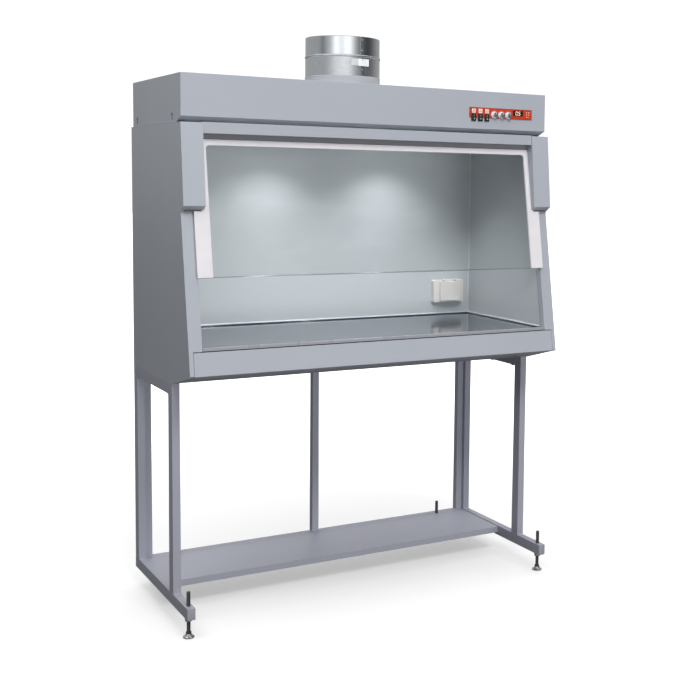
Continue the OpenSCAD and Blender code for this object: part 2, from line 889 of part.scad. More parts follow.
fan_motor();
fan_impeller();
fascia();
rocker_bezels();
display_window();
rocker(0);  // rocker_light
rocker(1);  // rocker_fan
rocker(2);  // rocker_socket
knob(0);  // knob_left
knob(1);  // knob_middle
knob(2);  // knob_right
socket_base();
socket_lid();
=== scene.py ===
"""Looks of a ducted laboratory fume hood on an open tube stand.

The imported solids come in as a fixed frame. Each sub-assembly class below dresses its solids with
a finish, adds the small parts that the solids leave out, and hides the few solids that a more
detailed piece stands for. Lengths are in metres, in the solids' own axes.
"""

import json
import logging
import math
from dataclasses import dataclass
from enum import Enum
from typing import Any, ClassVar, Iterable, Sequence

import bmesh
import bpy
from mathutils import Matrix, Vector

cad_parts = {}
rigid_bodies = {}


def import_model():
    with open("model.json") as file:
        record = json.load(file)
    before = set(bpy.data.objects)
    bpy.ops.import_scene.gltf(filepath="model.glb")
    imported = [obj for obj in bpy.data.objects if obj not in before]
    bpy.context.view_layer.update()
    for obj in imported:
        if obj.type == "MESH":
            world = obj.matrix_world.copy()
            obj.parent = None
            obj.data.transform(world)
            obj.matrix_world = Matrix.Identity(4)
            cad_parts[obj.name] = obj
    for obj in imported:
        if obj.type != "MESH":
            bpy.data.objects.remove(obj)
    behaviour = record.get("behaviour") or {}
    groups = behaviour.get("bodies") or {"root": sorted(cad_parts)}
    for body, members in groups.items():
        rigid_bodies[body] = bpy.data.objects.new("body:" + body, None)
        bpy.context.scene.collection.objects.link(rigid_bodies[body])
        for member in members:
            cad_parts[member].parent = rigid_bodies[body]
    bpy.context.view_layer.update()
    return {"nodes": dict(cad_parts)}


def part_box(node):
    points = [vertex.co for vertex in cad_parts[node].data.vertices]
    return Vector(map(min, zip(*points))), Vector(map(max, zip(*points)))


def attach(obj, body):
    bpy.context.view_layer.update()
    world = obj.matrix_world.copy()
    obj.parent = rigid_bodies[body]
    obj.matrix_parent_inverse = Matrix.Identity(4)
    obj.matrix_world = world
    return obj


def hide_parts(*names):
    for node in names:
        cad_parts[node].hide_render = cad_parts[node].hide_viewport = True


LOG = logging.getLogger("fume_hood")
TAU = 2 * math.pi
IDENTITY = Matrix.Identity(4)
POLE_R = 1e-7
LAMP_X, LAMP_Y = 0.218, 0.024

Point = tuple[float, float, float]
Colour = tuple[float, float, float]
Outline = Sequence[tuple[float, float]]


# ---- Shader graphs ---------------------------------------------------------------------


class Socket:
    """An output of a shader node, with arithmetic that adds Math nodes."""

    def __init__(self, graph: "Graph", out: bpy.types.NodeSocket) -> None:
        """Wraps one output.

        Args:
            graph: The graph that the node belongs to.
            out: The node's output socket.
        """
        self.graph = graph
        self.out = out

    def _math(self, operation: str, left: Any, right: Any) -> "Socket":
        """Adds a Math node with two inputs and returns its result."""
        return self.graph.make("ShaderNodeMath", {"operation": operation}, {0: left, 1: right})

    def __add__(self, other: Any) -> "Socket":
        """self + other."""
        return self._math("ADD", self, other)

    def __radd__(self, other: Any) -> "Socket":
        """other + self."""
        return self._math("ADD", other, self)

    def __sub__(self, other: Any) -> "Socket":
        """self - other."""
        return self._math("SUBTRACT", self, other)

    def __rsub__(self, other: Any) -> "Socket":
        """other - self."""
        return self._math("SUBTRACT", other, self)

    def __mul__(self, other: Any) -> "Socket":
        """self * other."""
        return self._math("MULTIPLY", self, other)

    def __rmul__(self, other: Any) -> "Socket":
        """other * self."""
        return self._math("MULTIPLY", other, self)

    def __truediv__(self, other: Any) -> "Socket":
        """self / other."""
        return self._math("DIVIDE", self, other)

    def __pow__(self, other: Any) -> "Socket":
        """self to the power other."""
        return self._math("POWER", self, other)

    def clamp(self, low: float = 0.0, high: float = 1.0) -> "Socket":
        """self held between low and high."""
        return self.graph.make("ShaderNodeClamp", {}, {0: self, 1: low, 2: high})

    def ramp(self, low: float, high: float) -> "Socket":
        """0 where self is at low, 1 where it is at high, and straight between them."""
        return ((self - low) / (high - low)).clamp()


class Graph:
    """The node tree of one material, emptied, with its output node in place."""

    def __init__(self, tree: bpy.types.NodeTree, output: str = "ShaderNodeOutputMaterial") -> None:
        """Empties the tree and adds its output node.

        Args:
            tree: The node tree to fill.
            output: The type of the output node.
        """
        tree.nodes.clear()
        self.tree = tree
        self.end = tree.nodes.new(output)

    def feed(self, socket: bpy.types.NodeSocket, value: Any) -> None:
        """Links value to the socket if it is a Socket, or else sets it as a constant."""
        if isinstance(value, Socket):
            self.tree.links.new(value.out, socket)
        elif isinstance(value, tuple) and len(value) == 3 and socket.type == "RGBA":
            socket.default_value = (*value, 1.0)
        else:
            socket.default_value = value

    def make(
        self,
        kind: str,
        settings: dict[str, Any] | None = None,
        inputs: dict[str | int, Any] | None = None,
        output: str | int = 0,
    ) -> Socket:
        """Adds any node.

        Args:
            kind: The node's type.
            settings: Its properties, set first. "stops" holds the stops of a colour ramp.
            inputs: Constants or Sockets by input name or number.
            output: The name or number of the output to return.

        Returns:
            The chosen output.
        """
        node = self.tree.nodes.new(kind)
        for key, value in (settings or {}).items():
            if key == "stops":
                self._set_stops(node.color_ramp, value)
            else:
                setattr(node, key, value)
        for key, value in (inputs or {}).items():
            self.feed(node.inputs[key], value)
        return Socket(self, node.outputs[output])

    @staticmethod
    def _set_stops(ramp: bpy.types.ColorRamp, stops: Sequence[tuple[float, Colour]]) -> None:
        """Fills a colour ramp with (position, colour) stops."""
        while len(ramp.elements) < len(stops):
            ramp.elements.new(0.5)
        for element, (position, colour) in zip(ramp.elements, stops):
            element.position = position
            element.color = (*colour, 1.0)

    def place(self, stretch: Point = (1.0, 1.0, 1.0)) -> Socket:
        """The point on the part in metres, with each axis multiplied by stretch."""
        point = self.make("ShaderNodeTexCoord", output="Object")
        if stretch == (1.0, 1.0, 1.0):
            return point
        settings = {"operation": "MULTIPLY"}
        return self.make("ShaderNodeVectorMath", settings, {0: point, 1: stretch})

    def noise(
        self, scale: float, detail: float = 2.0, stretch: Point = (1.0, 1.0, 1.0)
    ) -> Socket:
        """Smooth noise around 0.5.

        Args:
            scale: Cells per metre.
            detail: Octaves of finer noise.
            stretch: Multiplies the scale along each axis.

        Returns:
            The noise value.
        """
        inputs = {"Vector": self.place(stretch), "Scale": scale, "Detail": detail}
        return self.make("ShaderNodeTexNoise", {}, inputs)

    def cells(self, scale: float, output: str = "Distance") -> Socket:
        """Cell pattern with scale cells a metre: distance to a cell's middle, or its colour."""
        inputs = {"Vector": self.place(), "Scale": scale}
        return self.make("ShaderNodeTexVoronoi", {}, inputs, output)

    def blend(self, mask: Any, first: Any, second: Any) -> Socket:
        """Colour mix: first where mask is 0, second where it is 1."""
        inputs = {0: mask, 6: first, 7: second}
        return self.make("ShaderNodeMix", {"data_type": "RGBA"}, inputs, 2)

    def tone(self, colour: Colour, mask: Socket, spread: float) -> Socket:
        """colour, darker by spread where mask is 0 and lighter by spread where it is 1."""
        dark = tuple(c * (1 - spread) for c in colour)
        light = tuple(min(1.0, c * (1 + spread)) for c in colour)
        return self.blend(mask, dark, light)

    def bump(self, height: Socket, depth: float, strength: float = 1.0) -> Socket:
        """A normal from a height between 0 and 1 that stands for depth metres."""
        inputs = {"Height": height, "Distance": depth, "Strength": strength}
        return self.make("ShaderNodeBump", {}, inputs)

    def surface(self, **inputs: Any) -> Socket:
        """A Principled shader; keywords are its inputs' names with _ for a space."""
        named = {key.replace("_", " "): value for key, value in inputs.items()}
        return self.make("ShaderNodeBsdfPrincipled", {}, named)

    def ray_is(self, kind: str) -> Socket:
        """1 for rays of one kind, such as Camera, else 0."""
        return self.make("ShaderNodeLightPath", output=f"Is {kind} Ray")

    def show(self, shader: Socket) -> None:
        """Links the shader to the output node."""
        self.feed(self.end.inputs["Surface"], shader)


def new_material(name: str) -> tuple[bpy.types.Material, Graph]:
    """An empty material and its graph."""
    material = bpy.data.materials.new(name)
    material.use_nodes = True
    return material, Graph(material.node_tree)


def put(name: str, data: bpy.types.ID) -> bpy.types.Object:
    """A new object with this data, linked to the scene."""
    made = bpy.data.objects.new(name, data)
    bpy.context.scene.collection.objects.link(made)
    return made


# ---- Finishes --------------------------------------------------------------------------


@dataclass(frozen=True)
class Finish:
    """A surface finish that makes its material once."""

    name: str
    tint: Colour
    roughness: float = 0.4

    made: ClassVar[dict[str, bpy.types.Material]] = {}

    def material(self) -> bpy.types.Material:
        """The Blender material of this finish, made the first time it is asked for."""
        if self.name not in self.made:
            self.made[self.name], graph = new_material(self.name)
            graph.show(self.shade(graph))
        return self.made[self.name]

    def shade(self, graph: Graph) -> Socket:
        """Adds the finish's nodes and returns its shader."""
        raise NotImplementedError


@dataclass(frozen=True)
class PowderCoat(Finish):
    """Baked powder paint on sheet or tube, with fine orange peel and faint handling marks."""

    peel: float = 0.00012
    grain: float = 420.0
    drift: float = 0.035

    def shade(self, graph: Graph) -> Socket:
        """Adds the finish's nodes and returns its shader."""
        slow = graph.noise(2.6, 3.0)
        fleck = graph.noise(1500.0, 1.0)
        wipes = graph.noise(7.0, 4.0, (1.0, 1.0, 0.25)).ramp(0.52, 0.72)
        peel = graph.noise(self.grain, 2.0)
        tone = (slow * 0.65 + fleck * 0.35).ramp(0.3, 0.7)
        return graph.surface(
            Base_Color=graph.tone(self.tint, tone, self.drift),
            Roughness=self.roughness + (slow - 0.5) * 0.12 - wipes * 0.05,
            Normal=graph.bump(peel, self.peel),
            Coat_Weight=0.12,
            Coat_Roughness=0.25,
        )


@dataclass(frozen=True)
class Plastic(Finish):
    """Moulded plastic with a fine spark-eroded texture."""

    texture: float = 0.00006
    grain: float = 1900.0
    coat: float = 0.0

    def shade(self, graph: Graph) -> Socket:
        """Adds the finish's nodes and returns its shader."""
        slow = graph.noise(24.0, 3.0)
        fine = graph.noise(self.grain, 1.0)
        tone = (slow * 0.6 + fine * 0.4).ramp(0.3, 0.7)
        return graph.surface(
            Base_Color=graph.tone(self.tint, tone, 0.05),
            Roughness=self.roughness + (slow - 0.5) * 0.15,
            Normal=graph.bump(fine, self.texture),
            Coat_Weight=self.coat,
            Coat_Roughness=0.1,
        )


@dataclass(frozen=True)
class Rubber(Finish):
    """Dull rubber or sealant with a slightly dusty skin."""

    dust: float = 0.25

    def shade(self, graph: Graph) -> Socket:
        """Adds the finish's nodes and returns its shader."""
        dusty = graph.noise(60.0, 4.0).ramp(0.45, 0.75)
        skin = graph.noise(900.0, 2.0)
        pale = tuple(c + (0.35 - c) * self.dust for c in self.tint)
        return graph.surface(
            Base_Color=graph.blend(dusty, self.tint, pale),
            Roughness=self.roughness + dusty * 0.15,
            Normal=graph.bump(skin, 0.0001),
        )


@dataclass(frozen=True)
class Steel(Finish):
    """Bare turned or rolled steel with fine streaks along one axis."""

    streak: Point = (1.0, 1.0, 40.0)
    grain: float = 45.0
    stain: float = 0.12

    def shade(self, graph: Graph) -> Socket:
        """Adds the finish's nodes and returns its shader."""
        lines = graph.noise(self.grain, 3.0, self.streak)
        cloud = graph.noise(35.0, 3.0)
        return graph.surface(
            Base_Color=graph.tone(self.tint, (lines * 0.5 + cloud * 0.5).ramp(0.3, 0.7), self.stain),
            Metallic=1.0,
            Roughness=self.roughness + (lines - 0.5) * 0.2 + (cloud - 0.5) * 0.15,
            Normal=graph.bump(lines, 0.00003),
        )


@dataclass(frozen=True)
class Galvanised(Finish):
    """Zinc-coated sheet: frosty spangles a centimetre across, faint rolling lines."""

    spangle: float = 95.0

    def shade(self, graph: Graph) -> Socket:
        """Adds the finish's nodes and returns its shader."""
        shade = graph.make(
            "ShaderNodeSeparateColor", {}, {0: graph.cells(self.spangle, "Color")}, 0
        )
        rolled = graph.noise(30.0, 3.0, (1.0, 1.0, 14.0))
        haze = graph.noise(9.0, 3.0).ramp(0.4, 0.7)
        return graph.surface(
            Base_Color=graph.tone(self.tint, shade * 0.35 + rolled * 0.65, 0.07),
            Metallic=1.0,
            Roughness=self.roughness + shade * 0.04 + haze * 0.04,
            Normal=graph.bump(rolled, 0.00005),
        )


@dataclass(frozen=True)
class ResinTop(Finish):
    """Polished dark resin with small pale flecks and a wiped sheen."""

    fleck: Colour = (0.16, 0.19, 0.24)

    def shade(self, graph: Graph) -> Socket:
        """Adds the finish's nodes and returns its shader."""
        flecks = graph.noise(850.0, 2.0).ramp(0.62, 0.70)
        wiped = graph.noise(5.0, 4.0, (0.5, 1.0, 1.0)).ramp(0.4, 0.75)
        scratch = graph.noise(30.0, 2.0, (1.0, 30.0, 1.0)).ramp(0.66, 0.72)
        return graph.surface(
            Base_Color=graph.blend(flecks * 0.6, self.tint, self.fleck),
            Roughness=self.roughness + wiped * 0.07 + scratch * 0.08,
            Normal=graph.bump(wiped, 0.00002),
            Coat_Weight=0.3,
            Coat_Roughness=0.08,
        )


@dataclass(frozen=True)
class ClearPane(Finish):
    """Float glass with a faint green tint that lets the lamps' light through."""

    def shade(self, graph: Graph) -> Socket:
        """Adds the finish's nodes and returns its shader."""
        smear = graph.noise(6.0, 4.0, (1.0, 1.0, 2.5)).ramp(0.5, 0.8)
        glass = graph.surface(
            Base_Color=graph.tone(self.tint, smear, 0.015),
            Roughness=smear * self.roughness,
            IOR=1.45,
            Transmission_Weight=1.0,
        )
        through = graph.make("ShaderNodeBsdfTransparent", {}, {0: self.tint})
        inputs = {0: graph.ray_is("Shadow"), 1: graph.ray_is("Diffuse")}
        mask = graph.make("ShaderNodeMath", {"operation": "MAXIMUM"}, inputs)
        return graph.make("ShaderNodeMixShader", {}, {0: mask, 1: glass, 2: through})


@dataclass(frozen=True)
class PrintedFilm(Finish):
    """Printed front film under a clear matt lacquer, a little uneven in tone."""

    def shade(self, graph: Graph) -> Socket:
        """Adds the finish's nodes and returns its shader."""
        cloud = graph.noise(40.0, 3.0)
        dots = graph.noise(2600.0, 1.0)
        return graph.surface(
            Base_Color=graph.tone(self.tint, (cloud * 0.7 + dots * 0.3).ramp(0.3, 0.7), 0.12),
            Roughness=self.roughness + (cloud - 0.5) * 0.1,
            Normal=graph.bump(dots, 0.00004),
            Coat_Weight=0.4,
            Coat_Roughness=0.2,
        )


@dataclass(frozen=True)
class Glow(Finish):
    """A lit surface, such as a lamp's diffuser or a display's digits."""

    strength: float = 4.0

    def shade(self, graph: Graph) -> Socket:
        """Adds the finish's nodes and returns its shader."""
        frost = graph.noise(400.0, 2.0)
        return graph.surface(
            Base_Color=graph.tone(self.tint, frost, 0.05),
            Roughness=self.roughness + (frost - 0.5) * 0.1,
            Emission_Color=graph.tone(self.tint, frost, 0.08),
            Emission_Strength=self.strength,
        )


class Look(Enum):
    """The finishes of the hood, by where they are used."""

    CABINET = PowderCoat("cabinet_paint_look", (0.405, 0.432, 0.482), 0.42)
    STAND = PowderCoat("stand_paint_look", (0.375, 0.385, 0.45), 0.45, 0.00016, 520.0)
    LINER = PowderCoat("liner_paint_look", (0.50, 0.53, 0.555), 0.36, 0.00005, 600.0, 0.025)
    # Paler than the resin top: partly the nosing's own colour, partly a painted highlight along the
    # worktop's front rim.
    NOSING_HIGHLIGHT = PowderCoat("worktop_nosing_highlight_look", (0.30, 0.305, 0.34), 0.3, 0.00004, 700.0, 0.02)
    COLLAR = PowderCoat("duct_collar_look", (0.49, 0.495, 0.53), 0.4)
    # Darker grey that stands in for cabinet paint lying in shade (painted shade), on the recessed head
    # seal and on the floor seam beads.
    PAINTED_SHADE_GREY = PowderCoat("painted_shade_grey_look", (0.26, 0.26, 0.285), 0.5)
    SASH_FRAME = Plastic("white_frame_look", (0.76, 0.74, 0.77), 0.32, 0.00003, 1500.0, 0.2)
    WHITE = Plastic("white_plastic_look", (0.80, 0.81, 0.83), 0.4)
    CREAM = Plastic("cream_plastic_look", (0.68, 0.665, 0.64), 0.38)
    BLACK = Plastic("black_plastic_look", (0.022, 0.022, 0.025), 0.38)
    CAP = Plastic("end_cap_look", (0.32, 0.33, 0.375), 0.42)
    GREY_PLASTIC = Plastic("grey_plastic_look", (0.12, 0.12, 0.13), 0.45)
    RUBBER = Rubber("black_rubber_look", (0.02, 0.02, 0.022), 0.7)
    # Pale sealant whose brightness also serves as a painted highlight along the worktop rim's top edge.
    SEALANT_HIGHLIGHT = Rubber("sealant_highlight_look", (0.66, 0.69, 0.72), 0.45, 0.05)
    SPINDLE = Steel("spindle_steel_look", (0.15, 0.15, 0.16), 0.42)
    BRIGHT = Steel("bright_steel_look", (0.62, 0.62, 0.63), 0.25)
    SCREW = Steel("plated_screw_look", (0.50, 0.51, 0.53), 0.3)
    WEIGHT = Steel("weight_steel_look", (0.16, 0.15, 0.15), 0.55, (1.0, 1.0, 1.0), 90.0, 0.3)
    ZINC = Galvanised("galvanised_look", (0.66, 0.69, 0.72), 0.12)
    RESIN = ResinTop("resin_top_look", (0.030, 0.040, 0.056), 0.10)
    GLASS = ClearPane("clear_glass_look", (0.975, 0.985, 0.985), 0.02)
    EDGE_GLASS = ClearPane("glass_edge_look", (0.70, 0.86, 0.80), 0.30)
    FILM = PrintedFilm("fascia_film_look", (0.52, 0.045, 0.012), 0.4)
    TILE = PrintedFilm("fascia_tile_look", (0.80, 0.74, 0.70), 0.4)
    DARK_FILM = PrintedFilm("display_film_look", (0.030, 0.010, 0.010), 0.15)
    LABEL = PrintedFilm("blank_label_look", (0.85, 0.86, 0.88), 0.45)
    TAPE = PrintedFilm("dull_tape_look", (0.56, 0.57, 0.57), 0.35)
    LAMP = Glow("lamp_diffuser_look", (1.0, 0.985, 0.95), 0.4, 4.0)
    DIGIT = Glow("display_digit_look", (1.0, 0.72, 0.45), 0.4, 1.6)


# ---- Mesh building ---------------------------------------------------------------------


def turn(axis: str, degrees: float) -> Matrix:
    """A rotation about a named axis."""
    return Matrix.Rotation(math.radians(degrees), 4, axis)


def shift(x: float, y: float, z: float) -> Matrix:
    """A translation."""
    return Matrix.Translation((x, y, z))


def facing(point: Point, normal: Point, up: Point = (0.0, 0.0, 1.0)) -> Matrix:
    """A frame at point whose Z axis is normal and whose Y axis is as near up as it can be."""
    z = Vector(normal).normalized()
    side = Vector(up).cross(z)
    x = side.normalized() if side.length > 1e-6 else Vector((1.0, 0.0, 0.0))
    y = z.cross(x)
    turned = Matrix((x, y, z)).transposed().to_4x4()
    return Matrix.Translation(point) @ turned


def rounded(width: float, height: float, radius: float, steps: int = 6) -> list[tuple[float, float]]:
    """The outline of a rectangle with round corners, centred on the origin."""
    points = []
    for number in range(4):
        x = (width / 2 - radius) * (1 if number in (0, 3) else -1)
        y = (height / 2 - radius) * (1 if number in (0, 1) else -1)
        for step in range(steps + 1):
            angle = TAU / 4 * (number + step / steps)
            points.append((x + radius * math.cos(angle), y + radius * math.sin(angle)))
    return points


def circle(radius: float, count: int, start: float = 0.0) -> list[tuple[float, float]]:
    """Points evenly round a circle, the first one start steps past the X axis."""
    angles = [TAU * (i + start) / count for i in range(count)]
    return [(radius * math.cos(angle), radius * math.sin(angle)) for angle in angles]


def oblong(left: float, right: float, bottom: float, top: float) -> list[tuple[float, float]]:
    """A rectangle's corners, anticlockwise. As a lathe's profile it makes a disc or a ring."""
    return [(left, bottom), (right, bottom), (right, top), (left, top)]


def scaled(outline: Outline, factor: float) -> list[tuple[float, float]]:
    """An outline made larger or smaller about the origin."""
    return [(x * factor, y * factor) for x, y in outline]


def across(half: float, steps: int) -> list[float]:
    """Evenly spaced places from -half to half."""
    return [half * (-1 + 2 * i / steps) for i in range(steps + 1)]


class Mesher:
    """Gathers solids in one mesh and turns them into one piece of the hood."""

    def __init__(self) -> None:
        """Starts an empty mesh."""
        self.bm = bmesh.new()

    def block(
        self, low: Point, high: Point, radius: float = 0.0, place: Matrix = IDENTITY, steps: int = 2
    ) -> None:
        """Adds a box with rounded edges.

        Args:
            low: Its lowest corner.
            high: Its highest corner.
            radius: The radius of its edges.
            place: A matrix for all of it.
            steps: Segments across a rounded edge.
        """
        made = bmesh.ops.create_cube(self.bm, size=1.0)["verts"]
        low_v, high_v = Vector(low), Vector(high)
        size, middle = high_v - low_v, (low_v + high_v) / 2
        for vert in made:
            scaled = Vector(c * s for c, s in zip(vert.co, size))
            vert.co = place @ (scaled + middle)
        if radius > 0:
            edges = list({edge for vert in made for edge in vert.link_edges})
            bmesh.ops.bevel(
                self.bm, geom=edges, offset=radius, segments=steps, profile=0.5,
                affect="EDGES", clamp_overlap=True,
            )

    def rings(self, loops: Sequence[Sequence[Vector]], closed: bool = False, caps: bool = True) -> None:
        """Joins loops of points, one after the other, with faces.

        Args:
            loops: Loops with the same number of points, or a single point.
            closed: Joins the last loop to the first.
            caps: Closes the first and last loop with a face.
        """
        rows = [[self.bm.verts.new(point) for point in loop] for loop in loops]
        count = max(len(row) for row in rows)
        pairs = list(zip(rows, rows[1:])) + ([(rows[-1], rows[0])] if closed else [])
        for first, second in pairs:
            for i in range(count):
                j = (i + 1) % count
                corners = [
                    first[i % len(first)], first[j % len(first)],
                    second[j % len(second)], second[i % len(second)],
                ]
                unique = list(dict.fromkeys(corners))
                if len(unique) > 2:
                    self.bm.faces.new(unique)
        if caps and not closed:
            for row in (rows[0], rows[-1]):
                if len(row) > 2:
                    self.bm.faces.new(row)

    def stack(
        self, stages: Iterable[tuple[Outline, float]], place: Matrix = IDENTITY,
        closed: bool = False,
    ) -> None:
        """Joins outlines that lie across Z.

        Args:
            stages: Each outline with its height, in order.
            place: A matrix for all of it.
            closed: Joins the last outline to the first.
        """
        loops = [[place @ Vector((x, y, z)) for x, y in outline] for outline, z in stages]
        self.rings(loops, closed)

    def lathe(
        self, profile: Outline, place: Matrix = IDENTITY, steps: int = 48, closed: bool = False
    ) -> None:
        """Turns a profile of (radius, height) about Z.

        Args:
            profile: The profile's points; radius 0 makes a pole.
            place: A matrix for all of it.
            steps: Points around.
            closed: Joins the profile's end to its start, for a ring.
        """
        stages = [(circle(r, 1 if r < POLE_R else steps), height) for r, height in profile]
        self.stack(stages, place, closed)

    def prism(
        self, outline: Outline, bottom: float, top: float, place: Matrix = IDENTITY,
        edge: float = 0.0,
    ) -> None:
        """Extrudes an outline along Z.

        Args:
            outline: Its points in X and Y, anticlockwise.
            bottom: The height of the lower face.
            top: The height of the upper face.
            place: A matrix for all of it.
            edge: The size of a rounded shoulder round the top face.
        """
        middle = Vector((sum(p[0] for p in outline), sum(p[1] for p in outline))) / len(outline)
        reach = max((Vector(p) - middle).length for p in outline)
        levels = [(bottom, 0.0)]
        if edge > 0:
            for step in range(4):
                angle = TAU / 4 * step / 3
                levels.append((top - edge + edge * math.sin(angle), edge * (1 - math.cos(angle))))
        else:
            levels.append((top, 0.0))
        stages = []
        for height, inset in levels:
            shrink = 1 - inset / reach * 1.3
            ring = [
                (middle.x + (x - middle.x) * shrink, middle.y + (y - middle.y) * shrink)
                for x, y in outline
            ]
            stages.append((ring, height))
        self.stack(stages, place)

    def sweep(
        self, path: Sequence[Point], radius: float | Sequence[float], steps: int = 8,
        closed: bool = False,
    ) -> None:
        """Runs a round section along a path.

        Args:
            path: The path's points.
            radius: The section's radius, or one for each point.
            steps: Points around the section.
            closed: The path is a loop.
        """
        points = [Vector(p) for p in path]
        radii = [radius] * len(points) if isinstance(radius, (int, float)) else list(radius)
        loops = []
        side = None
        for i, point in enumerate(points):
            before = points[i - 1] if i or closed else point
            after = points[(i + 1) % len(points)] if i + 1 < len(points) or closed else point
            along = (after - before).normalized()
            if side is None:
                side = along.orthogonal().normalized()
            side = (side - along * side.dot(along)).normalized()
            other = along.cross(side)
            loops.append([
                point + (side * x + other * y) * radii[i] for x, y in circle(1.0, steps)
            ])
        self.rings(loops, closed)

    def screw(self, place: Matrix, radius: float, height: float) -> None:
        """Adds a domed screw head with a socket, standing on the origin of place."""
        r, h = radius, height
        self.lathe(
            [
                (r, 0.0), (r, h * 0.35), (r * 0.86, h * 0.75), (r * 0.62, h), (r * 0.46, h),
                (r * 0.44, h * 0.3), (0.0, h * 0.25),
            ],
            place, 20,
        )

    def build(
        self, name: str, look: Look, body: str, slot: str, hides: Iterable[str] = (),
        crease: float = 35.0,
    ) -> bpy.types.Object:
        """Turns the mesh into a piece that rides on a body.

        Args:
            name: The piece's name.
            look: Its finish.
            body: The body it rides on.
            slot: The record's material slot; not used.
            hides: The solids that it stands for.
            crease: Edges sharper than this angle stay sharp.

        Returns:
            The piece.
        """
        bmesh.ops.recalc_face_normals(self.bm, faces=self.bm.faces)
        mesh = bpy.data.meshes.new(name)
        self.bm.to_mesh(mesh)
        self.bm.free()
        mesh.shade_smooth()
        mesh.set_sharp_from_angle(angle=math.radians(crease))
        mesh.materials.append(look.value.material())
        piece = put(name, mesh)
        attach(piece, body)
        if hides:
            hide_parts(*hides)
        LOG.info("%s: %d faces on %s", name, len(mesh.polygons), body)
        return piece


class Assembly:
    """A sub-assembly: what it shares is the frame's solids."""

    def __init__(self, nodes: dict[str, bpy.types.Object]) -> None:
        """Keeps the frame's solids by name."""
        self.nodes = nodes

    def dress(self, look: Look, *names: str, edge: float = 0.0) -> None:
        """Gives solids a finish and softly rounded edges.

        Args:
            look: The finish.
            *names: The solids.
            edge: The radius of their outer edges, or 0 to leave them sharp.
        """
        for name in names:
            solid = self.nodes[name]
            solid.data.materials[0] = look.value.material()
            if edge > 0:
                weld = solid.modifiers.new("join_faces", "WELD")
                weld.merge_threshold = 0.00001
                bevel = solid.modifiers.new("soft_edges", "BEVEL")
                bevel.width = edge
                bevel.segments = 2
                bevel.limit_method = "ANGLE"
                bevel.angle_limit = math.radians(50)
                weigh = solid.modifiers.new("flat_faces", "WEIGHTED_NORMAL")
                weigh.weight = 100
            LOG.info("%s: dressed as %s", name, look.name.lower())

    @staticmethod
    def span(node: str) -> tuple[Vector, Vector]:
        """A solid's lowest and highest corner."""
        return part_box(node)

    def middle(self, node: str) -> Point:
        """The middle of a solid's box."""
        low, high = self.span(node)
        return (low.x + high.x) / 2, (low.y + high.y) / 2, (low.z + high.z) / 2


@dataclass(frozen=True)
class Slope:
    """The slanted front: a frame whose Z runs up it and whose -Y points out of it."""

    foot_y: float = -0.308
    foot_z: float = 0.804
    lean: float = math.atan2(124, 741)

    def place(self) -> Matrix:
        """The slope's frame."""
        return shift(0.0, self.foot_y, self.foot_z) @ Matrix.Rotation(-self.lean, 4, "X")

    def point(self, x: float, out: float, up: float) -> Vector:
        """The point at x, out metres in front of the slope and up metres along it."""
        return self.place() @ Vector((x, -out, up))


# ---- Stand -----------------------------------------------------------------------------


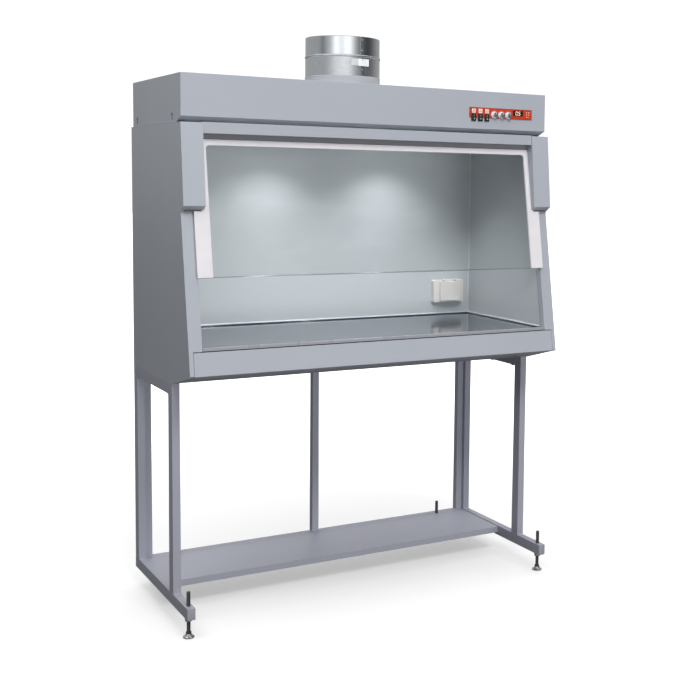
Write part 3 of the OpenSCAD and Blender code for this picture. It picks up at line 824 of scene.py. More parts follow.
@dataclass
class Stand:
    """The welded tube stand with its caps, shelf and levelling feet."""

    kit: Assembly
    tube_w: float = 0.025
    weld_r: float = 0.0021
    thread_pitch: float = 0.00175
    thread_r: float = 0.006
    thread_depth: float = 0.0009
    pad_r: float = 0.017
    nut_r: float = 0.01097
    feet: tuple[str, ...] = ("front_left", "front_right", "rear_left", "rear_right")
    tubes: tuple[str, ...] = (
        "left_runner", "right_runner", "left_front_leg", "right_front_leg", "left_rear_leg",
        "right_rear_leg", "left_top_rail", "right_top_rail", "rear_rails", "rear_posts", "shelf",
    )

    def build(self) -> None:
        """Dresses the tubes and adds the welds, caps, nuts and feet."""
        self.kit.dress(Look.STAND, *self.tubes, edge=0.0009)
        self._welds()
        self._caps()
        self._nuts()
        for foot in self.feet:
            self._foot(foot)

    def _bead(self, mesh: Mesher, start: Point, end: Point) -> None:
        """Adds one rippled weld bead from start to end."""
        a, b = Vector(start), Vector(end)
        count = max(4, int((b - a).length / 0.0012))
        path, radii = [], []
        for i in range(count + 1):
            path.append(tuple(a.lerp(b, i / count)))
            taper = min(1.0, 4 * min(i, count - i) / count + 0.35)
            radii.append(self.weld_r * taper * (1 + 0.12 * math.sin(i * 1.9)))
        mesh.sweep(path, radii, 8)

    def _welds(self) -> None:
        """Fillet welds across the tube joints that aren't ground flush."""
        mesh = Mesher()
        for side in ("left", "right"):
            low, high = self.kit.span(f"{side}_front_leg")
            rear_low, rear_high = self.kit.span(f"{side}_rear_leg")
            x = (low.x + 0.002, high.x - 0.002)
            for z in (low.z, high.z):
                for y in (low.y, high.y, rear_low.y):
                    if y == low.y and z == high.z:
                        continue
                    self._bead(mesh, (x[0], y, z), (x[1], y, z))
            inner = low.x if side == "right" else high.x
            rail_low, rail_high = self.kit.span("rear_rails")
            for z in (self.kit.span("shelf")[1].z, rail_low.z):
                self._bead(mesh, (inner, rear_low.y + 0.002, z), (inner, rear_high.y - 0.002, z))
            self._bead(mesh, (inner, rear_high.y - 0.023, rail_high.z - 0.025),
                       (inner, rear_high.y - 0.002, rail_high.z - 0.025))
        low, high = self.kit.span("rear_posts")
        for middle in (low.x + self.tube_w / 2, 0.0, high.x - self.tube_w / 2):
            for z in (low.z, high.z):
                self._bead(mesh, (middle - 0.011, low.y, z), (middle + 0.011, low.y, z))
                for x in (middle - self.tube_w / 2, middle + self.tube_w / 2):
                    if abs(x) < high.x - 0.001:
                        self._bead(mesh, (x, low.y + 0.002, z), (x, high.y - 0.002, z))
        mesh.build("stand_welds", Look.STAND, "cabinet", "stand_paint")

    def _caps(self) -> None:
        """Moulded end caps of the runners, domed, with a rim and gripping fins inside."""
        mesh = Mesher()
        cap_low, cap_high = self.kit.span("runner_caps")
        for side in ("left", "right"):
            low, high = self.kit.span(f"{side}_runner")
            middle = ((low.x + high.x) / 2, (low.z + high.z) / 2)
            for y, out, tip in ((low.y, -1.0, cap_low.y), (high.y, 1.0, cap_high.y)):
                place = facing((middle[0], y, middle[1]), (0.0, out, 0.0))
                width, height, thick = high.x - low.x, high.z - low.z, abs(tip - y)
                mesh.prism(rounded(width, height, 0.0018), 0.0, thick, place, thick * 0.7)
                mesh.prism(rounded(width - 0.0044, height - 0.0044, 0.001), -0.012, 0.0, place)
        mesh.build("runner_end_caps", Look.CAP, "cabinet", "black_plastic", ["runner_caps"])

    def _hexagon(self, radius: float) -> list[tuple[float, float]]:
        """A hexagon's corners, each cut by two points so that its edges are softly rounded."""
        points = []
        for i in range(6):
            for nudge in (-2.5, 2.5):
                angle = math.radians(60 * i + nudge)
                points.append((radius * math.cos(angle), radius * math.sin(angle)))
        return points

    def _nuts(self) -> None:
        """Lock nuts with washers, tight under the tubes."""
        mesh = Mesher()
        tops = {"front": self.kit.span("left_runner")[0].z, "rear": self.kit.span("rear_rails")[0].z}
        for foot in self.feet:
            x, y, _ = self.kit.middle(f"foot_{foot}")
            top = tops[foot.split("_")[0]]
            washer = [(0.0062, 0.0), (0.0118, 0.0), (0.012, 0.0004), (0.012, 0.0014), (0.0062, 0.0015)]
            mesh.lathe(washer, shift(x, y, top - 0.0015), 40, closed=True)
            mesh.prism(self._hexagon(self.nut_r), -0.0085, 0.0, shift(x, y, top - 0.0016), 0.0008)
            collar = [(0.0062, 0.0), (0.0088, 0.0), (0.0092, 0.0009), (0.0062, 0.0009)]
            mesh.lathe(collar, shift(x, y, top - 0.0108), 40, closed=True)
        mesh.build("foot_lock_nuts", Look.SCREW, "cabinet", "spindle_steel", ["foot_nuts"])

    def _foot(self, name: str) -> None:
        """A levelling foot: turned pad with a rubber ring, hex collar and threaded spindle."""
        x, y, _ = self.kit.middle(f"foot_{name}")
        body, place = f"{name}_foot", shift(x, y, 0.0)
        pad = Mesher()
        pad.lathe(
            [
                (0.0, 0.0012), (0.0145, 0.0012), (0.0155, 0.0004), (self.pad_r - 0.0004, 0.0004),
                (self.pad_r, 0.001), (self.pad_r, 0.0032), (self.pad_r - 0.0006, 0.004),
                (0.0138, 0.0052), (0.0108, 0.0078), (0.0092, 0.0108), (0.0088, 0.0122),
                (0.0072, 0.013), (0.0, 0.013),
            ],
            place, 64,
        )
        pad.build(f"{name}_foot_pad", Look.BRIGHT, body, "spindle_steel", [f"foot_{name}"])
        sole = Mesher()
        sole.lathe([(0.0, 0.0), (0.014, 0.0), (0.0148, 0.0006), (0.014, 0.0013), (0.0, 0.0013)], place)
        sole.build(f"{name}_foot_sole", Look.RUBBER, body, "seal_rubber")
        self._spindle(name, body, place, self.kit.span(f"foot_{name}")[1].z)

    def _spindle(self, name: str, body: str, place: Matrix, top: float) -> None:
        """The threaded spindle: a cylinder whose radius follows the thread's helix."""
        mesh = Mesher()
        mesh.prism(self._hexagon(0.0085), 0.0128, 0.0188, place, 0.0007)
        start, around, per_turn = 0.019, 20, 5
        count = int((top - start - 0.001) / self.thread_pitch * per_turn)
        stages = []
        for row in range(count + 1):
            outline = []
            for i in range(around):
                phase = (row / per_turn - i / around) % 1.0
                tooth = 1 - abs(2 * phase - 1)
                radius = self.thread_r - self.thread_depth * (1 - tooth)
                angle = TAU * i / around
                outline.append((radius * math.cos(angle), radius * math.sin(angle)))
            stages.append((outline, start + row * self.thread_pitch / per_turn))
        stages.append((circle(self.thread_r - 0.0016, around), top))
        mesh.stack(stages, place)
        mesh.build(f"{name}_foot_spindle", Look.SPINDLE, body, "spindle_steel", crease=80.0)


# ---- Cabinet ---------------------------------------------------------------------------


@dataclass
class Cabinet:
    """The outer sheet metal of the cabinet with its fasteners and rear louvres."""

    kit: Assembly
    screw_r: float = 0.0042
    screw_h: float = 0.0013
    louvre_half: float = 0.081
    louvre_rows: int = 6
    bolt_inset: float = 0.07
    sheets: tuple[str, ...] = (
        "left_side_panel", "right_side_panel", "rear_panel", "floor_pan", "apron", "front_posts",
        "head_rail", "left_corner_cover", "right_corner_cover",
    )

    def build(self) -> None:
        """Dresses the sheets and adds the fasteners, louvres and seams."""
        self.kit.dress(Look.CABINET, *self.sheets, edge=0.0006)
        # The head seal's darker grey is painted shade for its recess behind the head rail.
        self.kit.dress(Look.PAINTED_SHADE_GREY, "head_seal", edge=0.0008)
        self._rear_screws()
        self._louvres()
        self._floor_bolts()
        self._seam_beads()

    def _rear_screws(self) -> None:
        """Screws round the rear panel's edge, inside the side walls' flanges."""
        mesh = Mesher()
        low, high = self.kit.span("rear_panel")
        inset = 0.031
        heights = [low.z + 0.03 + (high.z - low.z - 0.06) * i / 4 for i in range(5)]
        spots = [(x, z) for x in (low.x + inset, high.x - inset) for z in heights]
        spots += [(x, z) for x in (-0.3, 0.0, 0.3) for z in (heights[0], heights[-1])]
        for x, z in spots:
            mesh.screw(facing((x, high.y, z), (0.0, 1.0, 0.0)), self.screw_r, self.screw_h)
        mesh.build("rear_panel_screws", Look.SCREW, "cabinet", "spindle_steel")

    def _louvres(self) -> None:
        """Pressed hoods over the cooling slots in the rear panel."""
        mesh = Mesher()
        low, high = self.kit.span("rear_panel")
        base_z = low.z - 0.004
        for middle in (-0.3, 0.0, 0.3):
            for row in range(self.louvre_rows):
                z = base_z + 0.060 + 0.016 * row
                section = [
                    (high.y, z + 0.009), (high.y + 0.0013, z + 0.0045), (high.y + 0.0013, z + 0.001),
                    (high.y + 0.0008, z + 0.001), (high.y + 0.0008, z + 0.0040), (high.y, z + 0.0075),
                ]
                ends = (middle - self.louvre_half, middle + self.louvre_half)
                mesh.rings([[Vector((x, y, height)) for y, height in section] for x in ends])
        mesh.build("rear_louvre_hoods", Look.CABINET, "cabinet", "cabinet_paint")

    def _floor_bolts(self) -> None:
        """Hexagon bolts that hold the cabinet to the stand's top rails, heads underneath."""
        mesh = Mesher()
        for side in ("left", "right"):
            low, high = self.kit.span(f"{side}_top_rail")
            x, middle_y, _ = self.kit.middle(f"{side}_top_rail")
            for y in (low.y + self.bolt_inset, middle_y, high.y - self.bolt_inset):
                place = shift(x, y, low.z) @ turn("X", 180.0)
                washer = [(0.0, 0.0), (0.0082, 0.0), (0.0085, 0.0005), (0.0085, 0.0012), (0.0, 0.0014)]
                mesh.lathe(washer, place, 32)
                mesh.prism(circle(0.0065, 6), 0.0012, 0.0055, place, 0.0006)
        mesh.build("stand_bolts", Look.SCREW, "cabinet", "spindle_steel")

    def _seam_beads(self) -> None:
        """Thin painted sealant in the seams between side walls and floor pan, in the darker grey that is
        painted shade.
        """
        mesh = Mesher()
        low, high = self.kit.span("floor_pan")
        for x in (low.x + 0.0004, high.x - 0.0004):
            path = [(x, -0.292, low.z + 0.0445), (x, -0.132, low.z + 0.0022), (x, 0.296, low.z + 0.0022)]
            mesh.sweep(path, 0.0011, 6)
        mesh.build("floor_seam_beads", Look.PAINTED_SHADE_GREY, "cabinet", "cabinet_paint")


@dataclass
class Chamber:
    """The work chamber: liners, worktop, ceiling, lamps and grille."""

    kit: Assembly
    bead_r: float = 0.0030
    screw_ring_r: float = 0.125

    def build(self) -> None:
        """Dresses the liners, worktop and lamps and adds the beads, nosing, grille screws and lamp
        frames; the pale bead and nosing are partly painted highlight.
        """
        self.kit.dress(
            Look.LINER, "side_liners", "back_liner", "ceiling_panel", "exhaust_grille", edge=0.0005
        )
        self.kit.dress(Look.RESIN, "worktop", edge=0.0015)
        self.kit.dress(Look.WHITE, "lamp_housings")
        self.kit.dress(Look.LAMP, "lamp_lenses", edge=0.0006)
        self._sealant_highlight()
        self._nosing_highlight()
        self._ceiling_screws()
        self._lamp_frames()

    def _sealant_highlight(self) -> None:
        """A bead where the worktop's rim meets the liners, and down the rear corners; its pale colour is
        partly the sealant's own and partly a painted highlight along the rim's top edge.
        """
        mesh = Mesher()
        top_low, top_high = self.kit.span("worktop")
        wall_low, wall_high = self.kit.span("back_liner")
        y, z = wall_low.y - 0.0008, top_high.z
        x = top_high.x
        front = top_low.y + 0.028
        mesh.sweep([(-x, front, z), (-x, y, z), (x, y, z), (x, front, z)], self.bead_r, 10)
        for side in (-1, 1):
            corner = side * (x - 0.0006)
            mesh.sweep([(corner, y - 0.0006, z), (corner, y - 0.0006, wall_high.z - 0.004)], 0.0024, 10)
        mesh.build("chamber_sealant_highlight", Look.SEALANT_HIGHLIGHT, "cabinet", "liner_paint")

    def _nosing_highlight(self) -> None:
        """The rounded edge strip along the worktop's front rim; its pale grey is partly the strip's own
        colour and partly a painted highlight along the rim.
        """
        mesh = Mesher()
        low, high = self.kit.span("worktop")
        top, front, half = high.z + 0.0004, low.y - 0.0005, high.x - 0.0005
        section = [
            (0.0000, -0.0100), (0.0000, -0.0022), (0.0007, -0.0007), (0.0022, 0.0),
            (0.0040, 0.0), (0.0052, -0.0008), (0.0058, -0.0020), (0.0058, -0.0034), (0.0010, -0.0034),
            (0.0010, -0.0100),
        ]
        loops = [
            [Vector((x, front + y, top + z)) for y, z in section]
            for x in across(half, 12)
        ]
        mesh.rings(loops)
        mesh.build("worktop_nosing_highlight", Look.NOSING_HIGHLIGHT, "cabinet", "liner_paint")

    def _ceiling_screws(self) -> None:
        """Screws of the exhaust grille, seen from inside the chamber."""
        mesh = Mesher()
        face_z = self.kit.span("exhaust_grille")[0].z
        middle_x, middle_y, _ = self.kit.middle("exhaust_grille")
        for x, y in circle(self.screw_ring_r, 6, 0.5):
            spot = (middle_x + x, middle_y + y, face_z)
            mesh.screw(facing(spot, (0.0, 0.0, -1.0), (0.0, 1.0, 0.0)), 0.0035, 0.0018)
        mesh.build("grille_screws", Look.SCREW, "cabinet", "spindle_steel")

    def _lamp_frames(self) -> None:
        """A slim bright frame round each lamp's opal lens."""
        mesh = Mesher()
        low, high = self.kit.span("lamp_lenses")
        width = high.y - low.y
        outer, inner = rounded(width + 0.014, width + 0.014, 0.006), rounded(width, width, 0.003)
        for side in (-1, 1):
            place = shift(side * LAMP_X, LAMP_Y, low.z + 0.0008) @ turn("X", 180.0)
            stages = ((outer, 0.0), (outer, 0.0012), (inner, 0.0020), (inner, 0.0))
            mesh.stack(stages, place, closed=True)
        mesh.build("lamp_frames", Look.BRIGHT, "cabinet", "liner_paint")


# ---- Sash ------------------------------------------------------------------------------


@dataclass
class Sash:
    """The sliding sash, the fixed pane behind it, and the balance gear in the side walls."""

    kit: Assembly
    slope: Slope

    def build(self) -> None:
        """Dresses the panes, border and balance gear and adds the glass edges."""
        self.kit.dress(Look.SASH_FRAME, "sash_border", edge=0.0012)
        self.kit.dress(Look.GLASS, "sash_glass", "fixed_pane")
        self.kit.dress(Look.GREY_PLASTIC, "sash_guides")
        self.kit.dress(Look.WHITE, "left_pulley", "right_pulley")
        self.kit.dress(Look.WEIGHT, "left_counterweight", "right_counterweight", edge=0.0015)
        self.kit.dress(Look.BRIGHT, "sash_cables")
        self._ground_edge("sash_glass", "sash_glass_edge", "sash", 0.0055, 0.289)
        self._ground_edge("fixed_pane", "fixed_pane_edge", "cabinet", -0.0055, 0.292)

    def _ground_edge(self, node: str, name: str, body: str, out: float, up: float) -> None:
        """The half-round ground lower edge of a pane, where light gathers.

        Args:
            node: The pane.
            name: The new piece's name.
            body: The body it rides on.
            out: How far the pane's middle is in front of the slope.
            up: How far up the slope the pane's lower edge is.
        """
        mesh = Mesher()
        half, thick = self.kit.span(node)[1].x - 0.001, 0.0025
        section = [
            (thick * 0.98 * math.cos(a), -0.0009 * math.sin(a))
            for a in [math.pi * i / 8 for i in range(9)]
        ]
        loops = [
            [self.slope.point(x, out + y, up + z) for y, z in section]
            for x in across(half, 16)
        ]
        mesh.rings(loops)
        mesh.build(name, Look.EDGE_GLASS, body, "clear_glass", crease=60.0)


# ---- Header and duct -------------------------------------------------------------------


@dataclass
class Header:
    """The header box with its latches and screws, the duct spigot, and the fan inside."""

    kit: Assembly
    duct_y: float = 0.062
    duct_r: float = 0.125
    rim_r: float = 0.0012
    flange_screw_r: float = 0.1322
    blades: int = 7
    latch_y: tuple[float, float] = (-0.133, 0.243)

    def build(self) -> None:
        """Dresses the header and builds the duct and fan parts."""
        self.kit.dress(Look.CABINET, "header_shell", edge=0.0007)
        self.kit.dress(Look.GREY_PLASTIC, "fan_motor", edge=0.001)
        self.kit.dress(Look.ZINC, "fan_casing")
        self._latches()
        self._rear_screws()
        self._collar()
        self._spigot()
        self._spigot_trim()
        self._label()
        self._impeller()

    def _arc_strip(
        self, mesh: Mesher, inner: float, outer: float, span: tuple[float, float],
        heights: tuple[float, float], steps: int = 10,
    ) -> None:
        """Adds a curved plate on the duct.

        Args:
            mesh: The mesh to add to.
            inner: The radius of its inner face.
            outer: The radius of its outer face.
            span: Its first and last angle in radians.
            heights: Its lower and upper edge.
            steps: Segments along the arc.
        """
        low, high = heights
        loops = []
        for i in range(steps + 1):
            angle = span[0] + (span[1] - span[0]) * i / steps
            ray = Vector((math.cos(angle), math.sin(angle), 0.0))
            centre = Vector((0.0, self.duct_y, 0.0))
            corners = ((inner, low), (outer, low), (outer, high), (inner, high))
            loops.append([centre + ray * r + Vector((0.0, 0.0, z)) for r, z in corners])
        mesh.rings(loops)

    def _latches(self) -> None:
        """Quarter-turn latches in the slots at both sides of the header."""
        mesh = Mesher()
        low, high = self.kit.span("header_shell")
        for side, x in ((-1.0, low.x), (1.0, high.x)):
            for y in self.latch_y:
                place = facing((x, y, low.z + 0.0145), (side, 0.0, 0.0))
                plate = [(0.0, 0.0), (0.0042, 0.0), (0.0044, 0.0008), (0.0040, 0.0014), (0.0, 0.0016)]
                mesh.lathe(plate, place @ shift(0.0, 0.0105, 0.0), 24)
                mesh.prism(rounded(0.0036, 0.0140, 0.0016), -0.0016, 0.0006, place, 0.0005)
        mesh.build("header_latches", Look.GREY_PLASTIC, "cabinet", "black_plastic")

    def _rear_screws(self) -> None:
        """Screws along the header's rear, and eight round the duct collar's flange."""
        mesh = Mesher()
        low, high = self.kit.span("header_shell")
        for x in (-0.6, -0.3, 0.0, 0.3, 0.6):
            for z in (low.z + 0.014, high.z - 0.014):
                mesh.screw(facing((x, high.y, z), (0.0, 1.0, 0.0)), 0.0042, 0.0018)
        top = self.kit.span("duct_collar")[0].z + 0.002
        for x, y in circle(self.flange_screw_r, 8, 0.5):
            mesh.screw(shift(x, self.duct_y + y, top), 0.0036, 0.0020)
        mesh.build("header_screws", Look.SCREW, "cabinet", "spindle_steel")

    def _collar(self) -> None:
        """The painted collar: flange, rolled foot, upright with a folded top edge."""
        low, high = self.kit.span("duct_collar")
        z0, z1, r = low.z, high.z, self.duct_r
        mesh = Mesher()
        mesh.lathe(
            [
                (r - 0.0007, z0), (r + 0.0126, z0), (r + 0.013, z0 + 0.0006),
                (r + 0.0126, z0 + 0.002), (r + 0.0042, z0 + 0.002), (r + 0.0024, z0 + 0.0028),
                (r + 0.0014, z0 + 0.0050), (r + 0.0014, z1 - 0.0030), (r + 0.0018, z1 - 0.0022),
                (r + 0.0018, z1 - 0.0006), (r + 0.0012, z1), (r - 0.0007, z1),
            ],
            shift(0.0, self.duct_y, 0.0), 128, closed=True,
        )
        mesh.build("duct_collar_flange", Look.COLLAR, "cabinet", "white_plastic", ["duct_collar"])

    def _spigot(self) -> None:
        """The zinc spigot: inner sleeve, swaged foot, stop bead and a rounded rim."""
        low, high = self.kit.span("duct_spigot")
        z1, r = high.z, self.duct_r
        foot = self.kit.span("duct_collar")[1].z
        bead, wall = (foot + z1) / 2, 0.0008
        outer = [
            (r - 0.0009, low.z), (r - 0.0009, foot - 0.0002), (r + 0.0006, foot + 0.0002),
            (r + 0.0009, foot + 0.0012), (r + 0.0006, foot + 0.0022), (r + 0.0006, bead - 0.0042),
        ]
        for i in range(9):
            angle = math.pi * (i / 8 - 0.5)
            outer.append((r + 0.0004 + 0.0018 * math.cos(angle), bead + 0.0034 * math.sin(angle)))
        outer += [
            (r, bead + 0.0044), (r, bead + 0.0054), (r, z1 - 0.0030), (r, z1 - self.rim_r),
            (r - 0.0003, z1 - 0.0003), (r - wall * 0.6, z1),
        ]
        inner = [
            (r - wall, z1 - 0.0003), (r - wall, bead + 0.003), (r + 0.0004, bead),
            (r - wall, bead - 0.003), (r - wall, foot + 0.003), (r - 0.0017, foot),
            (r - 0.0017, low.z),
        ]
        mesh = Mesher()
        mesh.lathe(outer + inner, shift(0.0, self.duct_y, 0.0), 160, closed=True)
        mesh.build("duct_spigot_wall", Look.ZINC, "cabinet", "galvanised", ["duct_spigot"])

    def _spigot_trim(self) -> None:
        """The spigot's lapped seam with its rivets."""
        foot = self.kit.span("duct_collar")[1].z
        top = self.kit.span("duct_spigot")[1].z
        bead, r = (foot + top) / 2, self.duct_r
        mesh = Mesher()
        seam = (-TAU / 4 + 0.05, -TAU / 4 + 0.17)
        self._arc_strip(mesh, r + 0.0002, r + 0.0012, seam, (foot + 0.003, bead - 0.0045))
        self._arc_strip(mesh, r - 0.0003, r + 0.0006, seam, (bead + 0.0046, top - 0.0015))
        middle = sum(seam) / 2
        for z in (foot + 0.021, bead - 0.012, bead + 0.019, top - 0.012):
            ray = (math.cos(middle), math.sin(middle), 0.0)
            spot = (ray[0] * (r + 0.0006), self.duct_y + ray[1] * (r + 0.0006), z)
            dome = [(0.0030, 0.0), (0.0028, 0.0007), (0.0018, 0.0013), (0.0, 0.0015)]
            mesh.lathe([(0.0, 0.0)] + dome, facing(spot, ray), 20)
        mesh.build("spigot_seam", Look.ZINC, "cabinet", "galvanised")

    def _label(self) -> None:
        """A blank label and the clear tape beside it, stuck on the spigot."""
        foot = self.kit.span("duct_collar")[1].z
        r = self.duct_r + 0.0014
        strips = (
            ("spigot_label", Look.LABEL, (-0.001, 0.040)), ("spigot_tape", Look.TAPE, (-0.026, -0.001)),
        )
        for name, look, ends in strips:
            mesh = Mesher()
            left, right = (-TAU / 4 + x / self.duct_r for x in ends)
            self._arc_strip(mesh, r, r + 0.0003, (left, right), (foot + 0.033, foot + 0.056), 12)
            mesh.build(name, look, "cabinet", "white_plastic")

    def _impeller(self) -> None:
        """The axial impeller: domed hub and seven twisted blades."""
        low, high = self.kit.span("fan_impeller")
        hub_r, tip_r = 0.040, 0.1140
        place = shift(0.0, self.duct_y, self.kit.middle("fan_impeller")[2])
        half = (high.z - low.z) / 2
        mesh = Mesher()
        mesh.lathe(
            [
                (0.0052, -half), (hub_r - 0.002, -half), (hub_r, -half + 0.002), (hub_r, half - 0.006),
                (hub_r - 0.002, half - 0.002), (hub_r - 0.008, half), (0.014, half),
                (0.012, half - 0.003), (0.0, half - 0.003), (0.0, -half + 0.012),
                (0.0052, -half + 0.012),
            ],
            place, 64, closed=True,
        )
        for blade in range(self.blades):
            self._blade(mesh, place @ turn("Z", 360 / self.blades * blade), hub_r - 0.003, tip_r)
        mesh.build("fan_rotor", Look.GREY_PLASTIC, "impeller", "galvanised", ["fan_impeller"])

    @staticmethod
    def _blade(mesh: Mesher, place: Matrix, root: float, tip: float) -> None:
        """Adds one blade.

        Args:
            mesh: The mesh to add to.
            place: The rotor's frame, turned to this blade.
            root: The radius where it starts.
            tip: The radius where it ends.
        """
        loops = []
        for i in range(9):
            share = i / 8
            radius = root + (tip - root) * share
            chord = 0.038 + 0.020 * share - 0.016 * max(0.0, share - 0.8) * 5 * share
            pitch = math.radians(40 - 17 * share)
            loop = []
            for k in range(12):
                angle = TAU * k / 12
                along = chord / 2 * math.cos(angle)
                thick = 0.0014 * math.sin(angle) + 0.10 * chord * (0.25 - (along / chord) ** 2)
                sweep = 0.10 * share * share
                y = along * math.cos(pitch) - thick * math.sin(pitch)
                z = along * math.sin(pitch) + thick * math.cos(pitch) - 0.001
                turned = sweep + y / radius
                loop.append(place @ Vector((radius * math.cos(turned), radius * math.sin(turned), z)))
            loops.append(loop)
        mesh.rings(loops)


# ---- Controls --------------------------------------------------------------------------


@dataclass
class Controls:
    """The fascia on the header: rocker switches, knobs, tiles, display and lamps."""

    kit: Assembly
    rockers: tuple[str, ...] = ("light", "fan", "socket")
    knobs: tuple[str, ...] = ("left", "middle", "right")
    digits: tuple[str, ...] = ("abcdef", "acdfg")
    mark_h: float = 0.0003
    rocker_y: float = -0.217
    rocker_z: float = 1.6005
    knob_y: float = -0.2193
    bezel_w: float = 0.0185
    tick_r: float = 0.0127
    key_half: float = 0.0092
    flute_r: float = 0.0089

    def build(self) -> None:
        """Builds the fascia and everything on it."""
        low, high = self.kit.span("fascia")
        self.front = low.y
        self._fascia(low, high)
        self._bezels()
        self._tiles(high.z)
        self._ticks()
        self._display()
        self._status_lamps(low, high)
        for name in self.rockers:
            self._rocker(name)
        for name in self.knobs:
            self._knob(name)

    def _front_place(self, x: float, z: float, proud: float = 0.0) -> Matrix:
        """A frame on the fascia at x, z, facing the operator, proud metres in front of it."""
        return facing((x, self.front - proud, z), (0.0, -1.0, 0.0))

    def _fascia(self, low: Vector, high: Vector) -> None:
        """The fascia's film plate stays the solid; a thin dark line edges it, open at the rockers."""
        self.kit.dress(Look.FILM, "fascia", edge=0.0005)
        line, back, front = 0.0008, self.front + 0.0006, self.front - 0.0002
        gaps = sorted(self.kit.middle(f"rocker_{name}")[0] for name in self.rockers)
        starts = [low.x, *(x + self.bezel_w / 2 for x in gaps)]
        ends = [*(x - self.bezel_w / 2 for x in gaps), high.x]
        sides = [(low.x, high.x, high.z - line, high.z)]
        sides += [(x, x + line, low.z, high.z) for x in (low.x, high.x - line)]
        sides += [(x0, x1, low.z, low.z + line) for x0, x1 in zip(starts, ends) if x1 > x0]
        mesh = Mesher()
        for x0, x1, z0, z1 in sides:
            mesh.block((x0, front, z0), (x1, back, z1))
        mesh.build("fascia_border", Look.DARK_FILM, "cabinet", "fascia_red")

    def _bezels(self) -> None:
        """Snap-in frames of the rocker switches."""
        mesh = Mesher()
        for name in self.rockers:
            x = self.kit.middle(f"rocker_{name}")[0]
            place = facing((x, self.rocker_y, self.rocker_z), (0.0, -1.0, 0.0))
            outer, inner = rounded(self.bezel_w, 0.0245, 0.0016, 3), rounded(0.0152, 0.0208, 0.0008, 3)
            stages = (
                (outer, 0.0), (outer, 0.0030), (rounded(0.0177, 0.0237, 0.0014, 3), 0.0038),
                (rounded(0.0160, 0.0216, 0.0010, 3), 0.0040), (inner, 0.0034), (inner, 0.0),
            )
            mesh.stack(stages, place, closed=True)
        mesh.build("rocker_frames", Look.BLACK, "cabinet", "black_plastic", ["rocker_bezels"])

    def _tiles(self, top_z: float) -> None:
        """Pale tiles above the rockers, each with a plain sign: lamp, fan, plug."""
        tiles, signs = Mesher(), Mesher()
        for name in self.rockers:
            x = self.kit.middle(f"rocker_{name}")[0]
            place = self._front_place(x, top_z - 0.0115)
            tiles.prism(rounded(0.0150, 0.0140, 0.0012, 3), 0.0, self.mark_h, place, self.mark_h * 0.6)
            top = place @ shift(0.0, 0.0, self.mark_h)
            getattr(self, f"_sign_{name}")(signs, top)
        tiles.build("fascia_tiles", Look.TILE, "cabinet", "white_plastic")
        signs.build("fascia_signs", Look.FILM, "cabinet", "fascia_red")

    def _sign_light(self, mesh: Mesher, place: Matrix) -> None:
        """A lamp sign: a disc with eight rays."""
        mesh.lathe([(0.0, 0.0), (0.0020, 0.0), (0.0019, 0.0002), (0.0, 0.0002)], place, 24)
        for i in range(8):
            mesh.prism(oblong(0.0030, 0.0050, -0.0004, 0.0004), 0.0, 0.0002, place @ turn("Z", 45 * i))

    def _sign_fan(self, mesh: Mesher, place: Matrix) -> None:
        """A fan sign: three leaf-shaped blades round a hub."""
        mesh.lathe([(0.0, 0.0), (0.0011, 0.0), (0.0010, 0.0002), (0.0, 0.0002)], place, 20)
        leaf = [
            (0.0014 + 0.0018 * (1 - math.cos(a)), 0.0013 * math.sin(a) * (1 + 0.4 * math.cos(a)))
            for a in [TAU * i / 14 for i in range(14)]
        ]
        for i in range(3):
            mesh.prism(leaf, 0.0, 0.0002, place @ turn("Z", 90 + 120 * i))

    def _sign_socket(self, mesh: Mesher, place: Matrix) -> None:
        """A plug sign: a ring with two pin holes."""
        mesh.lathe(oblong(0.0042, 0.0049, 0.0, 0.0002), place, 32, closed=True)
        for x in (-0.0019, 0.0019):
            mesh.lathe(oblong(0.0, 0.0008, 0.0, 0.0002), place @ shift(x, 0.0, 0.0), 16)

    def _ticks(self) -> None:
        """Pale scale marks over the knobs, the middle one longer."""
        mesh = Mesher()
        for name in self.knobs:
            x, _, z = self.kit.middle(f"knob_{name}")
            place = self._front_place(x, z)
            for step in range(-3, 4):
                end = self.tick_r + (0.0022 if step else 0.0034)
                outline = oblong(self.tick_r, end, -0.0003, 0.0003)
                mesh.prism(outline, 0.0, 0.0002, place @ turn("Z", 90 - 30 * step))
        mesh.build("knob_scales", Look.TILE, "cabinet", "white_plastic")

    def _display(self) -> None:
        """The display: dark window with a frame, and two lit seven-segment digits."""
        low, _ = self.kit.span("display_window")
        self.kit.dress(Look.DARK_FILM, "display_window", edge=0.0004)
        lit = Mesher()
        x, _, z = self.kit.middle("display_window")
        place = facing((x, low.y, z), (0.0, -1.0, 0.0))
        width, tall, bar = 0.0062, 0.0118, 0.0013
        spots = {
            "a": (0, 1, True), "g": (0, 0, True), "d": (0, -1, True), "b": (1, 0.5, False),
            "c": (1, -0.5, False), "f": (-1, 0.5, False), "e": (-1, -0.5, False),
        }
        for number, segments in enumerate(self.digits):
            centre = -0.0058 + 0.0116 * number
            for segment in segments:
                dx, dy, flat = spots[segment]
                length = (width if flat else tall / 2) - bar * 1.3
                size = (length, bar) if flat else (bar, length)
                slant = 0.0009 * dy
                spot = place @ shift(centre + dx * width / 2 + slant, dy * tall / 2, 0.0)
                lit.prism(rounded(*size, bar * 0.4, 2), 0.0, 0.00025, spot)
        lit.prism(rounded(bar * 1.1, bar * 1.1, bar * 0.4, 2), 0.0, 0.00025,
                  place @ shift(0.0, -tall / 2, 0.0))
        lit.build("display_digits", Look.DIGIT, "cabinet", "lamp_diffuser")

